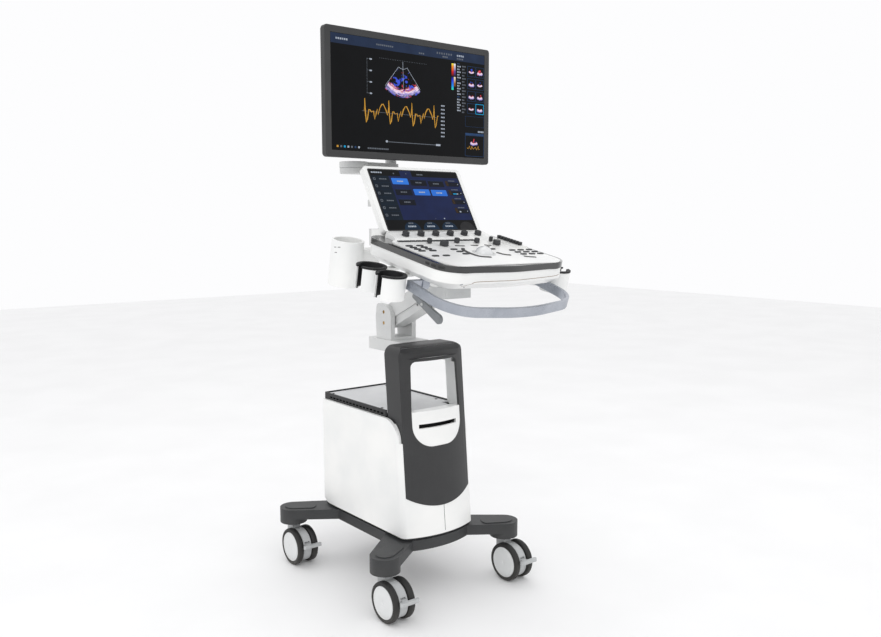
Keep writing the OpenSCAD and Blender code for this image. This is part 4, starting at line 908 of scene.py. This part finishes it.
echoScan("heartScan", "heartEcho", heart["x"], heart["y"], heart["scanNear"], heart["scanFar"],
         heart["scanHalf"], 20, heart["near"], heart["echoFar"], heart["wall"], 3)
for i, (x, y) in enumerate(thumbPlaces):
    reach = thumb["far"] if i % 3 else thumb["shortFar"]
    echoScan("thumbnailScan_%d" % (i + 1), "thumbnailEcho_%d" % (i + 1), x, y, thumb["near"], reach,
             thumb["half"], 8, thumb["near"], thumb["far"], thumb["wall"])
corner = monitorLayout["panel"]
x, y = onDisplay(screen, corner["left"], corner["top"])
echoScan("panelScan", "panelEcho", x, y, corner["near"], corner["far"], corner["half"], 8, corner["near"],
         corner["far"], corner["wall"])
print("monitor picture made")

# touch panel
low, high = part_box("touch_glass")
touch = {"lean": 30.5, "height": 192.6, "thick": 3, "margin": 3}
touchLayout = {
    "areas": [
        ("black", 1, 0, 1, 0, 1, 3), ("menu", 2, 0.005, 0.195, 0.10, 0.84),
        ("navy", 2, 0.195, 0.995, 0.10, 0.84), ("navy", 2, 0.33, 0.46, 0.005, 0.10),
        ("grey", 3, 0.255, 0.268, 0.045, 0.065),
        ("grey", 3, 0.395, 0.405, 0.045, 0.06), ("grey", 3, 0.555, 0.563, 0.815, 0.823),
        ("white", 3, 0.655, 0.667, 0.807, 0.823), ("cyan", 5, 0.875, 0.915, 0.375, 0.391),
        ("white", 5, 0.915, 0.935, 0.375, 0.391), ("white", 5, 0.872, 0.892, 0.687, 0.707)],
    "captions": [("white", 3, 0.02, 0.035, 5, 0.018, 0.006, 0.022),
                 ("grey", 3, 0.52, 0.05, 4, 0.014, 0.004, 0.02)],
    "repeated": [
        (6, 0, 0.121, {"areas": [("grey", 3, 0.02, 0.045, 0.135, 0.177, 2),
                                 ("menu", 4, 0.026, 0.039, 0.145, 0.167, 1)],
                       "captions": [("grey", 3, 0.085, 0.147, 4, 0.016, 0.004, 0.018)]}),
        (5, 0, 0.121, {"areas": [("dial", 3, 0.01, 0.19, 0.216, 0.219)]}),
        (4, 0, 0.158, {"areas": [("dark", 3, 0.825, 0.985, 0.177, 0.250, 5),
                                 ("brown", 4, 0.828, 0.858, 0.155, 0.245, 2),
                                 ("white", 4, 0.966, 0.974, 0.205, 0.221)],
                       "captions": [("grey", 4, 0.87, 0.143, 5, 0.012, 0.004, 0.016)]}),
        (3, 0.21, 0, {"captions": [("grey", 4, 0.235, 0.885, 3, 0.014, 0.004, 0.02),
                                   ("white", 4, 0.22, 0.935, 5, 0.014, 0.004, 0.024)]})],
    "buttonOn": {"areas": [("bright", 3, 0, 0.18, 0, 0.105, 2)],
                 "captions": [("white", 4, 0.055, 0.042, 4, 0.014, 0.004, 0.02)]},
    "buttonOff": {"areas": [("dark", 3, 0, 0.18, 0, 0.105, 2), ("blueLine", 4, 0.004, 0.176, 0.002, 0.005)],
                  "captions": [("grey", 4, 0.055, 0.042, 4, 0.014, 0.004, 0.02)]},
    "on": [(0.215, 0.135), (0.42, 0.315), (0.62, 0.32)],
    "off": [(0.42, 0.15), (0.62, 0.16), (0.215, 0.32), (0.215, 0.49)],
    "dials": {"places": (0.265, 0.475, 0.685, 0.895), "rise": 0.2, "halfWidth": 27, "height": 24},
}
lean = math.radians(touch["lean"])
upWay, outWay = Vector((0, math.sin(lean), math.cos(lean))), Vector((0, -math.cos(lean), math.sin(lean)))
touchFoot = Vector((0, low.y, low.z + touch["thick"] * mm * math.sin(lean)))
touchMiddle = touchFoot + upWay * touch["height"] * mm / 2
touchPlace = Matrix(((1, 0, 0, touchMiddle.x), (0, upWay.y, outWay.y, touchMiddle.y),
                     (0, upWay.z, outWay.z, touchMiddle.z), (0, 0, 0, 1)))
panel = {"mesh": bmesh.new(), "place": touchPlace, "size": (
    (high.x - low.x) / mm - 2 * touch["margin"], touch["height"] - 2 * touch["margin"])}
draw(panel, touchLayout)
for u, v in touchLayout["on"]:
    group(panel, touchLayout["buttonOn"], u, v)
for u, v in touchLayout["off"]:
    group(panel, touchLayout["buttonOff"], u, v)
dials = touchLayout["dials"]
for u in dials["places"]:      # the upper halves of four discs
    x, y = onDisplay(panel, u, 1)
    name = "dialGrey" if u == dials["places"][-1] else "dial"
    outline = arc(x, y + dials["rise"], dials["halfWidth"], dials["height"], 0, 180, 18)
    prism(panel["mesh"], outline, 0, 3 * layer, touchPlace, lightNames.index(name))
finishDisplay(panel, "touchPicture", "console")
print("touch panel picture made")

# floor and surroundings
floorSize = 9.0
bm = bmesh.new()
corners = ((-1, -1), (1, -1), (1, 1), (-1, 1))
bm.faces.new([bm.verts.new((x * floorSize, y * floorSize, 0)) for x, y in corners])
floorMesh = bpy.data.meshes.new("studioFloor")
bm.to_mesh(floorMesh)
bm.free()
studioFloor = bpy.data.objects.new("studioFloor", floorMesh)
bpy.context.collection.objects.link(studioFloor)
floorMesh.materials.append(moulded("mattStudioPaint", {
    "colour": "#f6f6f6", "shade": "#f3f3f3", "mottleMm": 400, "grainMm": 6, "depthMm": 0.05,
    "roughness": (0.7, 0.8)}))
world = bpy.data.worlds.new("studioWorld")
world.use_nodes = True
world.node_tree.nodes["Background"].inputs["Color"].default_value = hexLinear("#fdfdfe")
world.node_tree.nodes["Background"].inputs["Strength"].default_value = 1.0
bpy.context.scene.world = world
print("studio made")
